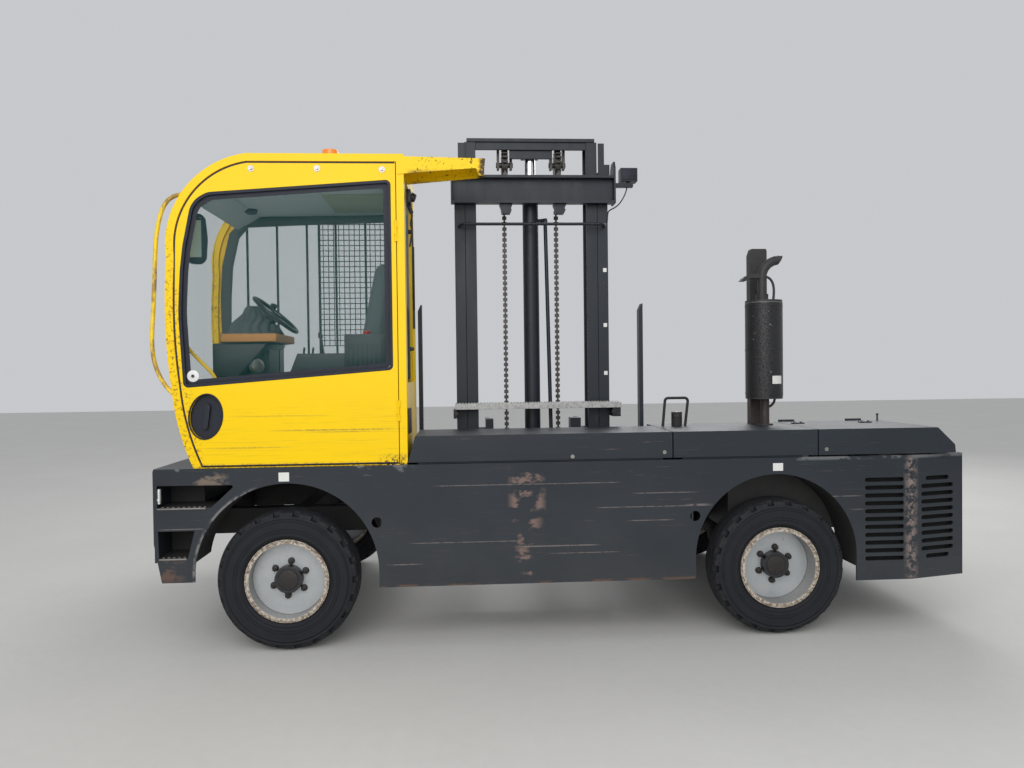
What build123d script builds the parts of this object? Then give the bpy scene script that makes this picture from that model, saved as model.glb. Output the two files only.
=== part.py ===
from build123d import *
import math
import os

# Side loader forklift, parked with its mast back and its forks low. Millimetres.
# X runs from the cab end (-X) to the engine end (+X), Y from the cab side (-Y) to the load
# side (+Y), and Z up from the ground. The origin is on the ground under the middle.

os.makedirs("parts", exist_ok=True)

# Chassis
length = 4890
width = 2200
deck_top = 1083
plate = 12
frame_bottom = 540
skirt_bottom = 365
rear_skirt_bottom = 325
nose_bottom = 425
nose_slant_top = 650
nose_slant = 42
panel_corner = 16
grille_corner_run = 375
grille_corner_depth = 88
vent_margin = 52.5
corner_vent_width = 245
vent_offset = 1
vent_height = 26
vent_pitch = 48
vent_count = 11
vent_top = 937
lifting_hole_radius = 31
upper_step_start = 22
upper_step_z = 857
lower_step_start = 28
lower_step_z = 565

# Wheels
front_wheel_lead = 10
rear_wheel_lag = 28
tyre_radius = 412
tyre_width = 230
tyre_inset = 8
lug_count = 22
lug_groove = 40
lug_depth = 22
rim_radius = 230
rim_flange = 244
rim_wall = 12
rim_disc = 14
front_dish = 90
rear_dish = 120
hub_radius = 80
hub_reach = 50
wheel_bolt_circle = 205
wheel_bolt_count = 6
wheel_nut = 15
axle_stub = 30
bearing_play = 0.05

# Openings for the wheels in the side panels
front_arch_share = 0.8
front_arch_offset = 455.4
front_arch_z = 460
front_arch_radius = 528
rear_arch_offset = 288.5
rear_arch_z = 487
rear_arch_radius = 497
arch_sheet = 6
arch_depth = 258

# Steering
kingpin_inset = 273
kingpin_radius = 20
kingpin_boss = 46
axle_half_height = 60
knuckle_ear = 40
knuckle_play = 0.5
frame_rail_inset = 524

# Well for the mast, and its rails
mast_x = -182
well_half = 760
spine_depth = 512
rail_bottom = 470
rail_height = 124
rail_depth = 56
rail_wall = 12
reach_roller = 48
roller_play = 0.3

# Hoods
hood_top = 1250
hood_seat = 1093
hood_sheet = 5
hood_inset = 8
front_hood_depth = 500
engine_hood_depth = 690
hood_seam_front = 594
hood_seam_rear = 1488
hood_gap = 6
hood_slope_start_inset = 204
hood_slope_end_inset = 96
hood_slope_foot = 1144
hood_end_inset = 91

# Cab
cab_inset = 12
seat_gap = 0.3
cab_width = 874
cab_rear = -987
hoop_face = 45
hoop_depth = 60
door_gap = 5
door_foot = 1093
door_thickness = 40
cab_sheet = 30
glass = 6
rubber = 18

# Mast
mast_half = 520
outer_face = 70
inner_face = 74
upright_depth = 160
upright_wall = 18
mast_back = 680
mast_foot = 260
mast_head = 2965
inner_foot = 600
inner_rise = 204
mast_play = 2
roller_gap = 0.3
fork_length = 1100
fork_width = 120
fork_thickness = 45
fork_spread = 300
fork_foot = 420

inner_head = mast_head + inner_rise
front_end = -length / 2
rear_end = length / 2
cab_side = -width / 2
load_side = width / 2
well_front = mast_x - well_half
well_rear = mast_x + well_half
deck_under = deck_top - plate
spine_wall = cab_side + spine_depth
cab_face = cab_side + cab_inset
cab_back = cab_face + cab_width
front_arch_x = front_arch_share * front_end + (1 - front_arch_share) * well_front + front_arch_offset
rear_arch_x = (well_rear + rear_end) / 2 - rear_arch_offset
front_wheel_x = front_arch_x - front_wheel_lead
rear_wheel_x = rear_arch_x + rear_wheel_lag
grille_corner_x = rear_end - grille_corner_run
vent_start = rear_arch_x + rear_arch_radius + vent_margin
vent_width = grille_corner_x - vent_margin - vent_start
vent_x = vent_start + vent_width / 2 + vent_offset
hood_slope_start = rear_end - hood_slope_start_inset
hood_slope_end = rear_end - hood_slope_end_inset
hood_end = rear_end - hood_end_inset
upper_step_end = front_arch_x - 429
lower_step_end = front_arch_x - 565
lifting_holes = ((well_front - 229, 748), (well_rear + 146, 742))


def facing_side(y):
    """Sketch plane seen from the cab side: local x is X, local y is Z, and it extrudes towards -Y."""
    return Plane.XZ.offset(-y)


def facing_end(x):
    """Sketch plane seen from the cab end: local x is Y, local y is Z, and it extrudes towards +X."""
    return Plane.YZ.offset(x)


def block(x, y, z, mode=Mode.ADD):
    """Square bar between two limits along each axis."""
    with Locations(((x[0] + x[1]) / 2, (y[0] + y[1]) / 2, (z[0] + z[1]) / 2)):
        Box(x[1] - x[0], y[1] - y[0], z[1] - z[0], mode=mode)


def bar(start, end, radius, mode=Mode.ADD):
    """Round bar between two points."""
    run = Vector(*end) - Vector(*start)
    with Locations(Plane(origin=Vector(*start) + run * 0.5, z_dir=run)):
        Cylinder(radius, run.length, mode=mode)


def save(piece, name):
    piece.part.label = name
    export_step(piece.part, f"parts/{name}.step")


# Side panels. Each row is an arch: centre x, centre z, radius.
front_arch = (front_arch_x, front_arch_z, front_arch_radius)
rear_arch = (rear_arch_x, rear_arch_z, rear_arch_radius)

with BuildPart() as cab_side_panel:
    with BuildSketch(facing_side(cab_side)):
        with BuildLine():
            Polyline(
                (front_end + nose_slant, nose_bottom),
                (front_end, nose_slant_top),
                (front_end, deck_top),
                (grille_corner_x, deck_top),
                (grille_corner_x, rear_skirt_bottom),
                (rear_arch_x, rear_skirt_bottom),
                (rear_arch_x, skirt_bottom),
                (front_arch_x, skirt_bottom),
                (front_arch_x, nose_bottom),
                close=True,
            )
        panel = make_face()
        fillet(panel.vertices().group_by(Axis.X)[0].sort_by(Axis.Y)[-1], radius=panel_corner)
        for x, z, radius in (front_arch, rear_arch):
            with Locations((x, z)):
                Circle(radius, mode=Mode.SUBTRACT)
            with Locations((x, z / 2)):
                Rectangle(2 * radius, z, mode=Mode.SUBTRACT)
        with BuildLine():
            Polyline(
                (front_end + upper_step_start, upper_step_z),
                (upper_step_end, upper_step_z),
                (upper_step_end + 125, upper_step_z + 115),
                (upper_step_end + 122, upper_step_z + 128),
                (front_end + upper_step_start, upper_step_z + 131),
                close=True,
            )
        upper_step = make_face(mode=Mode.SUBTRACT)
        with BuildLine():
            Polyline(
                (front_end + lower_step_start, lower_step_z),
                (lower_step_end, lower_step_z),
                (lower_step_end + 40, lower_step_z + 159),
                (front_end + lower_step_start - 4, lower_step_z + 159),
                close=True,
            )
        lower_step = make_face(mode=Mode.SUBTRACT)
        with Locations(*lifting_holes):
            Circle(lifting_hole_radius, mode=Mode.SUBTRACT)
        with Locations(*[(vent_x, vent_top - row * vent_pitch) for row in range(vent_count)]):
            SlotOverall(vent_width, vent_height, mode=Mode.SUBTRACT)
    extrude(amount=-plate)
save(cab_side_panel, "cab_side_panel")

# Vented corner between the side panel and the rear panel.
corner_run = rear_end - grille_corner_x
corner_length = math.hypot(corner_run, grille_corner_depth)
corner_face = Plane(
    origin=(grille_corner_x, cab_side, 0),
    x_dir=(corner_run, grille_corner_depth, 0),
    z_dir=(grille_corner_depth, -corner_run, 0),
)
corner_height = deck_top - rear_skirt_bottom
with BuildPart() as corner_grille:
    with BuildSketch(corner_face):
        with Locations((corner_length / 2, rear_skirt_bottom + corner_height / 2)):
            Rectangle(corner_length, corner_height)
        for row in range(vent_count):
            short = row in (0, vent_count - 1)
            with Locations((corner_length * 0.5, vent_top - row * vent_pitch)):
                SlotOverall(corner_vent_width * (0.72 if short else 1), vent_height, mode=Mode.SUBTRACT)
    extrude(amount=-plate)
    split(bisect_by=Plane.YZ.offset(grille_corner_x), keep=Keep.TOP)
    split(bisect_by=Plane.YZ.offset(rear_end - plate), keep=Keep.BOTTOM)
save(corner_grille, "corner_grille")

with BuildPart() as load_side_panels:
    for start, end, foot, arch in (
        (front_end, well_front, nose_bottom, front_arch),
        (well_rear, rear_end, rear_skirt_bottom, rear_arch),
    ):
        with BuildSketch(facing_side(load_side - plate)):
            with Locations(((start + end) / 2, (foot + deck_top) / 2)):
                Rectangle(end - start, deck_top - foot)
            with Locations((arch[0], arch[1])):
                Circle(arch[2], mode=Mode.SUBTRACT)
            with Locations((arch[0], arch[1] / 2)):
                Rectangle(2 * arch[2], arch[1], mode=Mode.SUBTRACT)
        extrude(amount=-plate)
save(load_side_panels, "load_side_panels")

lamp_width = 240
lamp_height = 110
lamp_y = load_side - 410
lamp_z = 860
tail_lamp_y = load_side - 300
tail_lamp_z = 1010
tail_lamp_width = 180
tail_lamp_height = 60
rear_panel_start = cab_side + grille_corner_depth * (1 - plate / corner_run)
with BuildPart() as end_panels:
    with BuildSketch(facing_end(front_end)):
        with Locations((0, (frame_bottom + deck_top) / 2)):
            Rectangle(width - 2 * plate, deck_top - frame_bottom)
        with Locations((-lamp_y, lamp_z), (lamp_y, lamp_z)):
            Rectangle(lamp_width, lamp_height, mode=Mode.SUBTRACT)
    extrude(amount=plate)
    with BuildSketch(facing_end(rear_end - plate)):
        with Locations(((rear_panel_start + load_side - plate) / 2, (rear_skirt_bottom + deck_top) / 2)):
            Rectangle(load_side - plate - rear_panel_start, deck_top - rear_skirt_bottom)
        with Locations(*[(-600, vent_top - row * vent_pitch) for row in range(vent_count)]):
            SlotOverall(560, vent_height, mode=Mode.SUBTRACT)
        with Locations((-tail_lamp_y, tail_lamp_z), (tail_lamp_y, tail_lamp_z)):
            Rectangle(tail_lamp_width, tail_lamp_height, mode=Mode.SUBTRACT)
    extrude(amount=plate)
save(end_panels, "end_panels")

# Spine: the closed box beside the well that joins the two ends of the machine.
spine_start = -1150
spine_end = 716
with BuildPart() as spine_beam:
    block((spine_start, spine_end), (spine_wall - plate, spine_wall), (skirt_bottom, deck_under))
    block(
        (spine_start, spine_end),
        (cab_side + plate, spine_wall - plate),
        (skirt_bottom, skirt_bottom + plate),
    )
    for x in (spine_start, spine_end - plate):
        block((x, x + plate), (cab_side + plate, spine_wall - plate), (skirt_bottom + plate, deck_under))
    block((well_front, well_rear), (cab_side + plate, spine_wall), (deck_under, deck_top))
save(spine_beam, "spine_beam")

# Main frame: rails along both sides of each end, with cross members and the walls of the well.
rail_low = 600
rail_high = 760
frame_rail = 100
cab_rail = cab_side + frame_rail_inset
load_rail = load_side - frame_rail_inset
engine_rail = -400
with BuildPart() as chassis_frame:
    for start, end, y in (
        (front_end + plate, well_front - plate, cab_rail),
        (front_end + plate, well_front - plate, load_rail - frame_rail),
        (well_rear + plate, rear_end - plate, engine_rail),
        (well_rear + plate, rear_end - plate, load_rail - frame_rail),
    ):
        block((start, end), (y, y + frame_rail), (rail_low, rail_high))
    for x, low in (
        (front_end + 100, cab_rail),
        (front_wheel_x, cab_rail),
        (rear_wheel_x, engine_rail),
        (rear_end - 100, engine_rail),
    ):
        block((x - 50, x + 50), (low + frame_rail, load_rail - frame_rail), (rail_low, rail_high))
    for x in (well_front - plate, well_rear):
        block((x, x + plate), (spine_wall, load_side - plate), (rail_bottom, deck_under))
    block((front_wheel_x - 90, front_wheel_x + 90), (-150, 150), (tyre_radius + axle_half_height, rail_low))
    for y in (engine_rail, load_rail - frame_rail):
        block(
            (rear_wheel_x - 70, rear_wheel_x + 70),
            (y, y + frame_rail),
            (tyre_radius + axle_half_height, rail_low),
        )
save(chassis_frame, "chassis_frame")

with BuildPart() as reach_rails:
    for wall, side in ((well_front, 1), (well_rear, -1)):
        with BuildSketch(facing_side(spine_wall)):
            with Locations((wall + side * rail_depth / 2, rail_bottom + rail_height / 2)):
                Rectangle(rail_depth, rail_height)
            with Locations((wall + side * (rail_depth + rail_wall) / 2, rail_bottom + rail_height / 2)):
                Rectangle(rail_depth - rail_wall, rail_height - 2 * rail_wall, mode=Mode.SUBTRACT)
        extrude(amount=-(load_side - plate - spine_wall))
save(reach_rails, "reach_rails")

engine_hood_far = cab_side + engine_hood_depth
rear_hood_start = hood_seam_rear + hood_gap / 2
hinge_y = engine_hood_far + 12
hinge_z = hood_top + 6
hinge_radius = 9
hinge_pin = 4
hinge_half = 42
hood_hinges = (rear_hood_start + 93, rear_end - 382)
post_top = 2095
post_width = 28
post_depth = 65
post_y = -200
deck_seam = 4
front_seam_y = cab_back + 20
rear_seam_y = hinge_y + 30
with BuildPart() as load_decks:
    block((front_end + plate, well_front), (cab_side + plate, load_side - plate), (deck_under, deck_top))
    with BuildSketch(Plane.XY.offset(deck_under)):
        with BuildLine():
            Polyline(
                (well_rear, cab_side + plate),
                (grille_corner_x - 3, cab_side + plate),
                (rear_end - plate, cab_side + grille_corner_depth + plate),
                (rear_end - plate, load_side - plate),
                (well_rear, load_side - plate),
                close=True,
            )
        make_face()
        with Locations(((620 + 2320) / 2, (cab_side + 150 + engine_hood_far - 80) / 2)):
            Rectangle(2320 - 620, engine_hood_far - 80 - cab_side - 150, mode=Mode.SUBTRACT)
    extrude(amount=plate)
    block(
        (rear_hood_start + 10, hood_slope_start - 40),
        (engine_hood_far - 20, engine_hood_far - 15),
        (deck_top, hood_top - hood_sheet - 1),
    )
    for x in hood_hinges:
        for start in (x - hinge_half - 13, x + hinge_half + 1):
            block((start, start + 12), (hinge_y - hinge_radius, hinge_y + hinge_radius), (deck_top, hinge_z))
            bar((start, hinge_y, hinge_z), (start + 12, hinge_y, hinge_z), hinge_radius)
        bar((x - hinge_half - 2, hinge_y, hinge_z), (x + hinge_half + 2, hinge_y, hinge_z), hinge_pin)
    for x in (well_front - post_width, well_rear + 19):
        with BuildSketch(facing_side(post_y)):
            Polygon(
                (x, deck_top),
                (x, post_top - 45),
                (x + 20, post_top),
                (x + post_width, post_top),
                (x + post_width, deck_top),
                align=None,
            )
        extrude(amount=-post_depth)
    for start, end, y in (
        (front_end + plate, well_front, front_seam_y),
        (well_rear, rear_end - plate, rear_seam_y),
    ):
        block((start, end), (y, y + deck_seam), (deck_top - deck_seam, deck_top), mode=Mode.SUBTRACT)
save(load_decks, "load_decks")

# Liners over the wheels, closed at the frame side.
with BuildPart() as arch_liners:
    for (x, z, radius), low in ((front_arch, frame_bottom), (rear_arch, skirt_bottom + 50)):
        for y in (cab_side + plate, load_side - plate - arch_depth):
            with BuildSketch(facing_side(y)):
                with Locations((x, z)):
                    Circle(radius + arch_sheet)
                    Circle(radius, mode=Mode.SUBTRACT)
                with Locations((x, low - radius)):
                    Rectangle(3 * radius, 2 * radius, mode=Mode.SUBTRACT)
            extrude(amount=-arch_depth)
save(arch_liners, "arch_liners")

# Steps cut into the front corner.
step_depth = 230
with BuildPart() as cab_steps:
    for end, top in ((upper_step_end, upper_step_z), (lower_step_end, lower_step_z)):
        block((front_end + plate, end), (cab_side + plate, cab_side + plate + step_depth), (top - 6, top))
    block(
        (front_end + plate, lower_step_end + 22),
        (cab_side + plate + step_depth, cab_side + 2 * plate + step_depth),
        (frame_bottom, deck_under),
    )
save(cab_steps, "cab_steps")

# Lamps
with BuildPart() as headlamps:
    for y in (-lamp_y, lamp_y):
        block(
            (front_end, front_end + 60),
            (y - lamp_width / 2, y + lamp_width / 2),
            (lamp_z - lamp_height / 2, lamp_z + lamp_height / 2),
        )
    for y in (-tail_lamp_y, tail_lamp_y):
        block(
            (rear_end - 50, rear_end),
            (y - tail_lamp_width / 2, y + tail_lamp_width / 2),
            (tail_lamp_z - tail_lamp_height / 2, tail_lamp_z + tail_lamp_height / 2),
        )
save(headlamps, "headlamps")

# Hoods
front_hood_far = cab_side + front_hood_depth
hood_near = cab_side + hood_inset
with BuildPart() as fixed_hoods:
    with BuildSketch(facing_side(hood_near)):
        Polygon(
            (cab_rear, hood_seat),
            (cab_rear + 45, hood_top),
            (hood_seam_front - hood_gap / 2, hood_top),
            (hood_seam_front - hood_gap / 2, hood_seat),
            align=None,
        )
    extrude(amount=-(front_hood_far - hood_near))
    with BuildSketch(facing_side(hood_near + hood_sheet)):
        Polygon(
            (cab_rear + hood_sheet, hood_seat - 1),
            (cab_rear + 45 + hood_sheet, hood_top - hood_sheet),
            (hood_seam_front - hood_gap / 2 - hood_sheet, hood_top - hood_sheet),
            (hood_seam_front - hood_gap / 2 - hood_sheet, hood_seat - 1),
            align=None,
        )
    extrude(amount=-(front_hood_far - hood_near - 2 * hood_sheet), mode=Mode.SUBTRACT)
    for y in (hood_near + hood_sheet, front_hood_far - hood_sheet - 30):
        block((cab_rear + 60, hood_seam_front - 60), (y, y + 30), (deck_top, hood_seat + 20))
    block(
        (hood_seam_front + hood_gap / 2, hood_seam_rear - hood_gap / 2),
        (hood_near, engine_hood_far),
        (hood_seat, hood_top),
    )
    block(
        (hood_seam_front + hood_gap / 2 + hood_sheet, hood_seam_rear - hood_gap / 2 - hood_sheet),
        (hood_near + hood_sheet, engine_hood_far - hood_sheet),
        (hood_seat - 1, hood_top - hood_sheet),
        mode=Mode.SUBTRACT,
    )
    for y in (hood_near + hood_sheet, engine_hood_far - hood_sheet - 30):
        block((hood_seam_front + 60, hood_seam_rear - 60), (y, y + 30), (deck_top, hood_seat + 20))
save(fixed_hoods, "fixed_hoods")

with BuildPart() as rear_hood:
    with BuildSketch(facing_side(hood_near)):
        Polygon(
            (rear_hood_start, hood_seat),
            (rear_hood_start, hood_top),
            (hood_slope_start, hood_top),
            (hood_slope_end, hood_slope_foot),
            (hood_end, hood_seat),
            align=None,
        )
    extrude(amount=-(engine_hood_far - hood_near))
    with BuildSketch(facing_side(hood_near + hood_sheet)):
        Polygon(
            (rear_hood_start + hood_sheet, hood_seat - 1),
            (rear_hood_start + hood_sheet, hood_top - hood_sheet),
            (hood_slope_start - 3, hood_top - hood_sheet),
            (hood_slope_end - 6, hood_slope_foot),
            (hood_end - 6, hood_seat - 1),
            align=None,
        )
    extrude(amount=-(engine_hood_far - hood_near), mode=Mode.SUBTRACT)
    for x in hood_hinges:
        block((x - hinge_half, x + hinge_half), (engine_hood_far - 30, hinge_y), (hood_top, hood_top + 3))
        bar((x - hinge_half, hinge_y, hinge_z), (x + hinge_half, hinge_y, hinge_z), hinge_radius)
        bar(
            (x - hinge_half, hinge_y, hinge_z),
            (x + hinge_half, hinge_y, hinge_z),
            hinge_pin + bearing_play,
            mode=Mode.SUBTRACT,
        )
save(rear_hood, "rear_hood")

# Engine, a plain mass at its place
with BuildPart() as engine_block:
    block((1020, 1740), (cab_side + 285, engine_rail - 20), (590, 1010))
    for x in (1060, 1640):
        block((x, x + 60), (engine_rail - 20, engine_rail), (640, 700))
save(engine_block, "engine_block")

# Axles
axle_z = tyre_radius
with BuildPart() as axles:
    block(
        (front_wheel_x - 55, front_wheel_x + 55),
        (cab_side + kingpin_inset, load_side - kingpin_inset),
        (axle_z - axle_half_height, axle_z + axle_half_height),
    )
    for y in (cab_side + kingpin_inset, load_side - kingpin_inset):
        bar((front_wheel_x, y, axle_z - axle_half_height), (front_wheel_x, y, axle_z + axle_half_height), 55)
    for y in (cab_side + kingpin_inset, load_side - kingpin_inset):
        bar(
            (front_wheel_x, y, axle_z - axle_half_height),
            (front_wheel_x, y, axle_z + axle_half_height),
            kingpin_radius + bearing_play,
            mode=Mode.SUBTRACT,
        )
    bar((rear_wheel_x, cab_side + 200, axle_z), (rear_wheel_x, load_side - 200, axle_z), 60)
    for side in (-1, 1):
        bar(
            (rear_wheel_x, side * (load_side - 200), axle_z),
            (rear_wheel_x, side * (load_side - tyre_inset - rear_dish + 20), axle_z),
            axle_stub,
        )
    with Locations((rear_wheel_x, -80, axle_z)):
        Sphere(125)
save(axles, "axles")

# Knuckles and wheels. Each row: name, wheel centre x, side (-1 cab side, 1 load side), dish depth.
wheels = (
    ("front_left", front_wheel_x, -1, front_dish),
    ("front_right", front_wheel_x, 1, front_dish),
    ("rear_left", rear_wheel_x, -1, rear_dish),
    ("rear_right", rear_wheel_x, 1, rear_dish),
)
web_inset = 170
web = 30
for name, x, side, dish in wheels[:2]:
    pin_y = side * (load_side - kingpin_inset)
    web_y = side * (load_side - web_inset - web)
    ear_low = axle_z - axle_half_height - knuckle_play - knuckle_ear
    ear_high = axle_z + axle_half_height + knuckle_play + knuckle_ear
    with BuildPart() as knuckle:
        for low in (ear_low, ear_high - knuckle_ear):
            bar((x, pin_y, low), (x, pin_y, low + knuckle_ear), kingpin_boss)
            block((x - 40, x + 40), sorted((pin_y, web_y)), (low, low + knuckle_ear))
        block((x - 40, x + 40), sorted((web_y, web_y + side * web)), (ear_low, ear_high))
        bar((x, pin_y, ear_low), (x, pin_y, ear_high), kingpin_radius)
        bar((x, web_y, axle_z), (x, side * (load_side - tyre_inset - dish + 20), axle_z), axle_stub)
    save(knuckle, f"knuckle_{name}")

# Tyres and rims are made about the origin with their outer face towards -Y, then placed.
tyre_half = tyre_width / 2
outwards = Plane(origin=(0, 0, 0), x_dir=(0, -1, 0), z_dir=(-1, 0, 0))
with BuildPart() as tyre_form:
    with BuildSketch(outwards):
        with BuildLine():
            Polyline(
                (-95, rim_radius),
                (-95, rim_flange + 2),
                (-108, 262),
                (-tyre_half, 320),
                (-tyre_half + 4, 372),
                (-92, 398),
                (-55, tyre_radius),
                (55, tyre_radius),
                (92, 398),
                (tyre_half - 4, 372),
                (tyre_half, 320),
                (108, 262),
                (95, rim_flange + 2),
                (95, rim_radius),
                close=True,
            )
        make_face()
    revolve(axis=Axis.Y)
    for start, run, turn in ((tyre_half - 45, 50, 0), (45 - tyre_half, -50, 180 / lug_count)):
        with BuildSketch(Plane.XZ.offset(start)):
            with PolarLocations(tyre_radius - lug_depth / 2, lug_count, start_angle=turn):
                Rectangle(2 * lug_depth, lug_groove)
        extrude(amount=run, mode=Mode.SUBTRACT)

rim_forms = {}
for dish in (front_dish, rear_dish):
    face = tyre_half - dish
    with BuildPart() as rim_form:
        with BuildSketch(outwards):
            with BuildLine():
                Polyline(
                    (-95, rim_radius),
                    (95, rim_radius),
                    (95, rim_flange),
                    (109, rim_flange),
                    (109, rim_radius - rim_wall),
                    (face, rim_radius - rim_wall),
                    (face, hub_radius),
                    (face + hub_reach, hub_radius),
                    (face + hub_reach, 0),
                    (face + 30, 0),
                    (face + 30, axle_stub + bearing_play),
                    (face - rim_disc - 30, axle_stub + bearing_play),
                    (face - rim_disc - 30, hub_radius),
                    (face - rim_disc, hub_radius),
                    (face - rim_disc, rim_radius - rim_wall),
                    (-109, rim_radius - rim_wall),
                    (-109, rim_flange),
                    (-95, rim_flange),
                    close=True,
                )
            make_face()
        revolve(axis=Axis.Y)
        with BuildSketch(Plane.XZ.offset(face)):
            with PolarLocations(wheel_bolt_circle / 2, wheel_bolt_count):
                RegularPolygon(wheel_nut, 6)
        extrude(amount=22)
    rim_forms[dish] = rim_form.part

for name, x, side, dish in wheels:
    place = Location((x, side * (load_side - tyre_inset - tyre_half), axle_z), (0, 0, 90 + 90 * side))
    with BuildPart() as tyre:
        with Locations(place):
            add(tyre_form.part)
    save(tyre, f"tyre_{name}")
    with BuildPart() as rim:
        with Locations(place):
            add(rim_forms[dish])
    save(rim, f"rim_{name}")

# Cab. The outline runs below the deck so that insets of it stay open at the foot.
cab_top = 2900
cab_sill = deck_top - 40
with BuildSketch() as cab_outline:
    with BuildLine():
        ThreePointArc((-2200, cab_sill), (-2290, 1290), (-2333, 1540))
        ThreePointArc((-2333, 1540), (-2362, 1930), (-2349, 2297))
        ThreePointArc((-2349, 2297), (-2208, 2735), (-1893, cab_top))
        Line((-1893, cab_top), (cab_rear, cab_top))
        Line((cab_rear, cab_top), (cab_rear, cab_sill))
        Line((cab_rear, cab_sill), (-2200, cab_sill))
    make_face()

door_hinge_x = cab_rear - hoop_face - door_gap
door_hinge_y = cab_face - 3
door_hinge_radius = 8
door_pin = 4
door_hinges = (1400, 2450)
knuckle_length = 40


def door_knuckles(places, radius, extra=0, mode=Mode.ADD):
    """Round knuckles of the door's hinges. Each place is the middle height of one knuckle."""
    for z in places:
        half = knuckle_length / 2 + extra
        bar(
            (door_hinge_x, door_hinge_y, z - half),
            (door_hinge_x, door_hinge_y, z + half),
            radius,
            mode=mode,
        )


frame_side = [z + step * (knuckle_length + 1) for z in door_hinges for step in (-1, 1)]
stop_depth = 12
stop_width = 30
with BuildPart() as cab_frame:
    for y, stop in ((cab_face, True), (cab_back - hoop_depth, False)):
        with BuildSketch(facing_side(y)):
            add(cab_outline.sketch)
            offset(cab_outline.sketch, amount=-hoop_face, mode=Mode.SUBTRACT)
        extrude(amount=-hoop_depth)
        if stop:
            with BuildSketch(facing_side(y + hoop_depth - stop_depth)):
                offset(cab_outline.sketch, amount=-hoop_face)
                offset(cab_outline.sketch, amount=-hoop_face - stop_width, mode=Mode.SUBTRACT)
            extrude(amount=-stop_depth)
    block((-2600, -800), (cab_side - 10, cab_back + 10), (cab_sill - 10, deck_top), mode=Mode.SUBTRACT)
    door_knuckles(door_hinges, door_hinge_radius + 1, extra=1, mode=Mode.SUBTRACT)
    for z in frame_side:
        block(
            (door_hinge_x, door_hinge_x + 12),
            (door_hinge_y - 4, cab_face + 8),
            (z - knuckle_length / 2, z + knuckle_length / 2),
        )
    door_knuckles(frame_side, door_hinge_radius)
    door_knuckles(door_hinges, door_pin, extra=2)
save(cab_frame, "cab_frame")

hoop_inner = cab_face + hoop_depth
hoop_far = cab_back - hoop_depth
roof_start = -2190
screen_foot = 1500
with BuildPart() as cab_roof:
    with BuildSketch(facing_side(hoop_inner)):
        add(cab_outline.sketch)
        offset(cab_outline.sketch, amount=-cab_sheet, mode=Mode.SUBTRACT)
        with Locations(((roof_start + cab_rear) / 2, 2750)):
            Rectangle(cab_rear - roof_start - 2 * cab_sheet, 400, mode=Mode.INTERSECT)
    extrude(amount=-(hoop_far - hoop_inner))
save(cab_roof, "cab_roof")

with BuildPart() as cab_nose:
    with BuildSketch(facing_side(hoop_inner)):
        add(cab_outline.sketch)
        offset(cab_outline.sketch, amount=-cab_sheet, mode=Mode.SUBTRACT)
        with Locations((-2300, (deck_top + screen_foot) / 2)):
            Rectangle(240, screen_foot - deck_top, mode=Mode.INTERSECT)
    extrude(amount=-(hoop_far - hoop_inner))
save(cab_nose, "cab_nose")

rear_window = ((hoop_inner + 40, hoop_far - 40), (1560, 2780))
with BuildPart() as cab_rear_wall:
    block((cab_rear - cab_sheet, cab_rear), (hoop_inner, hoop_far), (deck_top, cab_top))
    block((cab_rear - cab_sheet - 1, cab_rear + 1), *rear_window, mode=Mode.SUBTRACT)
save(cab_rear_wall, "cab_rear_wall")

# Window of the door and of the far wall: x, z and the radius of each corner
window_corners = (
    (-2266, 1549, 30),
    (-1064, 1640, 30),
    (-1064, 2750, 30),
    (-2114, 2675, 110),
    (-2177, 2638, 110),
    (-2211, 2590, 120),
    (-2257, 2368, 800),
    (-2274, 2227, 1000),
    (-2288, 1978, 1200),
)
with BuildSketch() as window_outline:
    with BuildLine():
        corner_points = [(x, z) for x, z, radius in window_corners]
        FilletPolyline(*corner_points, radius=[radius for x, z, radius in window_corners], close=True)
    make_face()

with BuildPart() as cab_far_wall:
    with BuildSketch(facing_side(hoop_far + 20)):
        offset(cab_outline.sketch, amount=-hoop_face)
        add(window_outline.sketch, mode=Mode.SUBTRACT)
    extrude(amount=-cab_sheet)
    block((-2600, -800), (hoop_far, cab_back + 10), (cab_sill - 10, deck_top), mode=Mode.SUBTRACT)
save(cab_far_wall, "cab_far_wall")

with BuildPart() as cab_glass:
    with BuildSketch(facing_side(hoop_inner)):
        offset(cab_outline.sketch, amount=-8)
        offset(cab_outline.sketch, amount=-8 - glass, mode=Mode.SUBTRACT)
        with Locations(((roof_start - 2500) / 2, (screen_foot + 2850) / 2)):
            Rectangle(roof_start + 2500, 2850 - screen_foot, mode=Mode.INTERSECT)
    extrude(amount=-(hoop_far - hoop_inner))
    block((cab_rear - 18, cab_rear - 18 + glass), *rear_window)
    with BuildSketch(facing_side(hoop_far + 32)):
        add(window_outline.sketch)
    extrude(amount=-glass)
save(cab_glass, "cab_glass")

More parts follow.
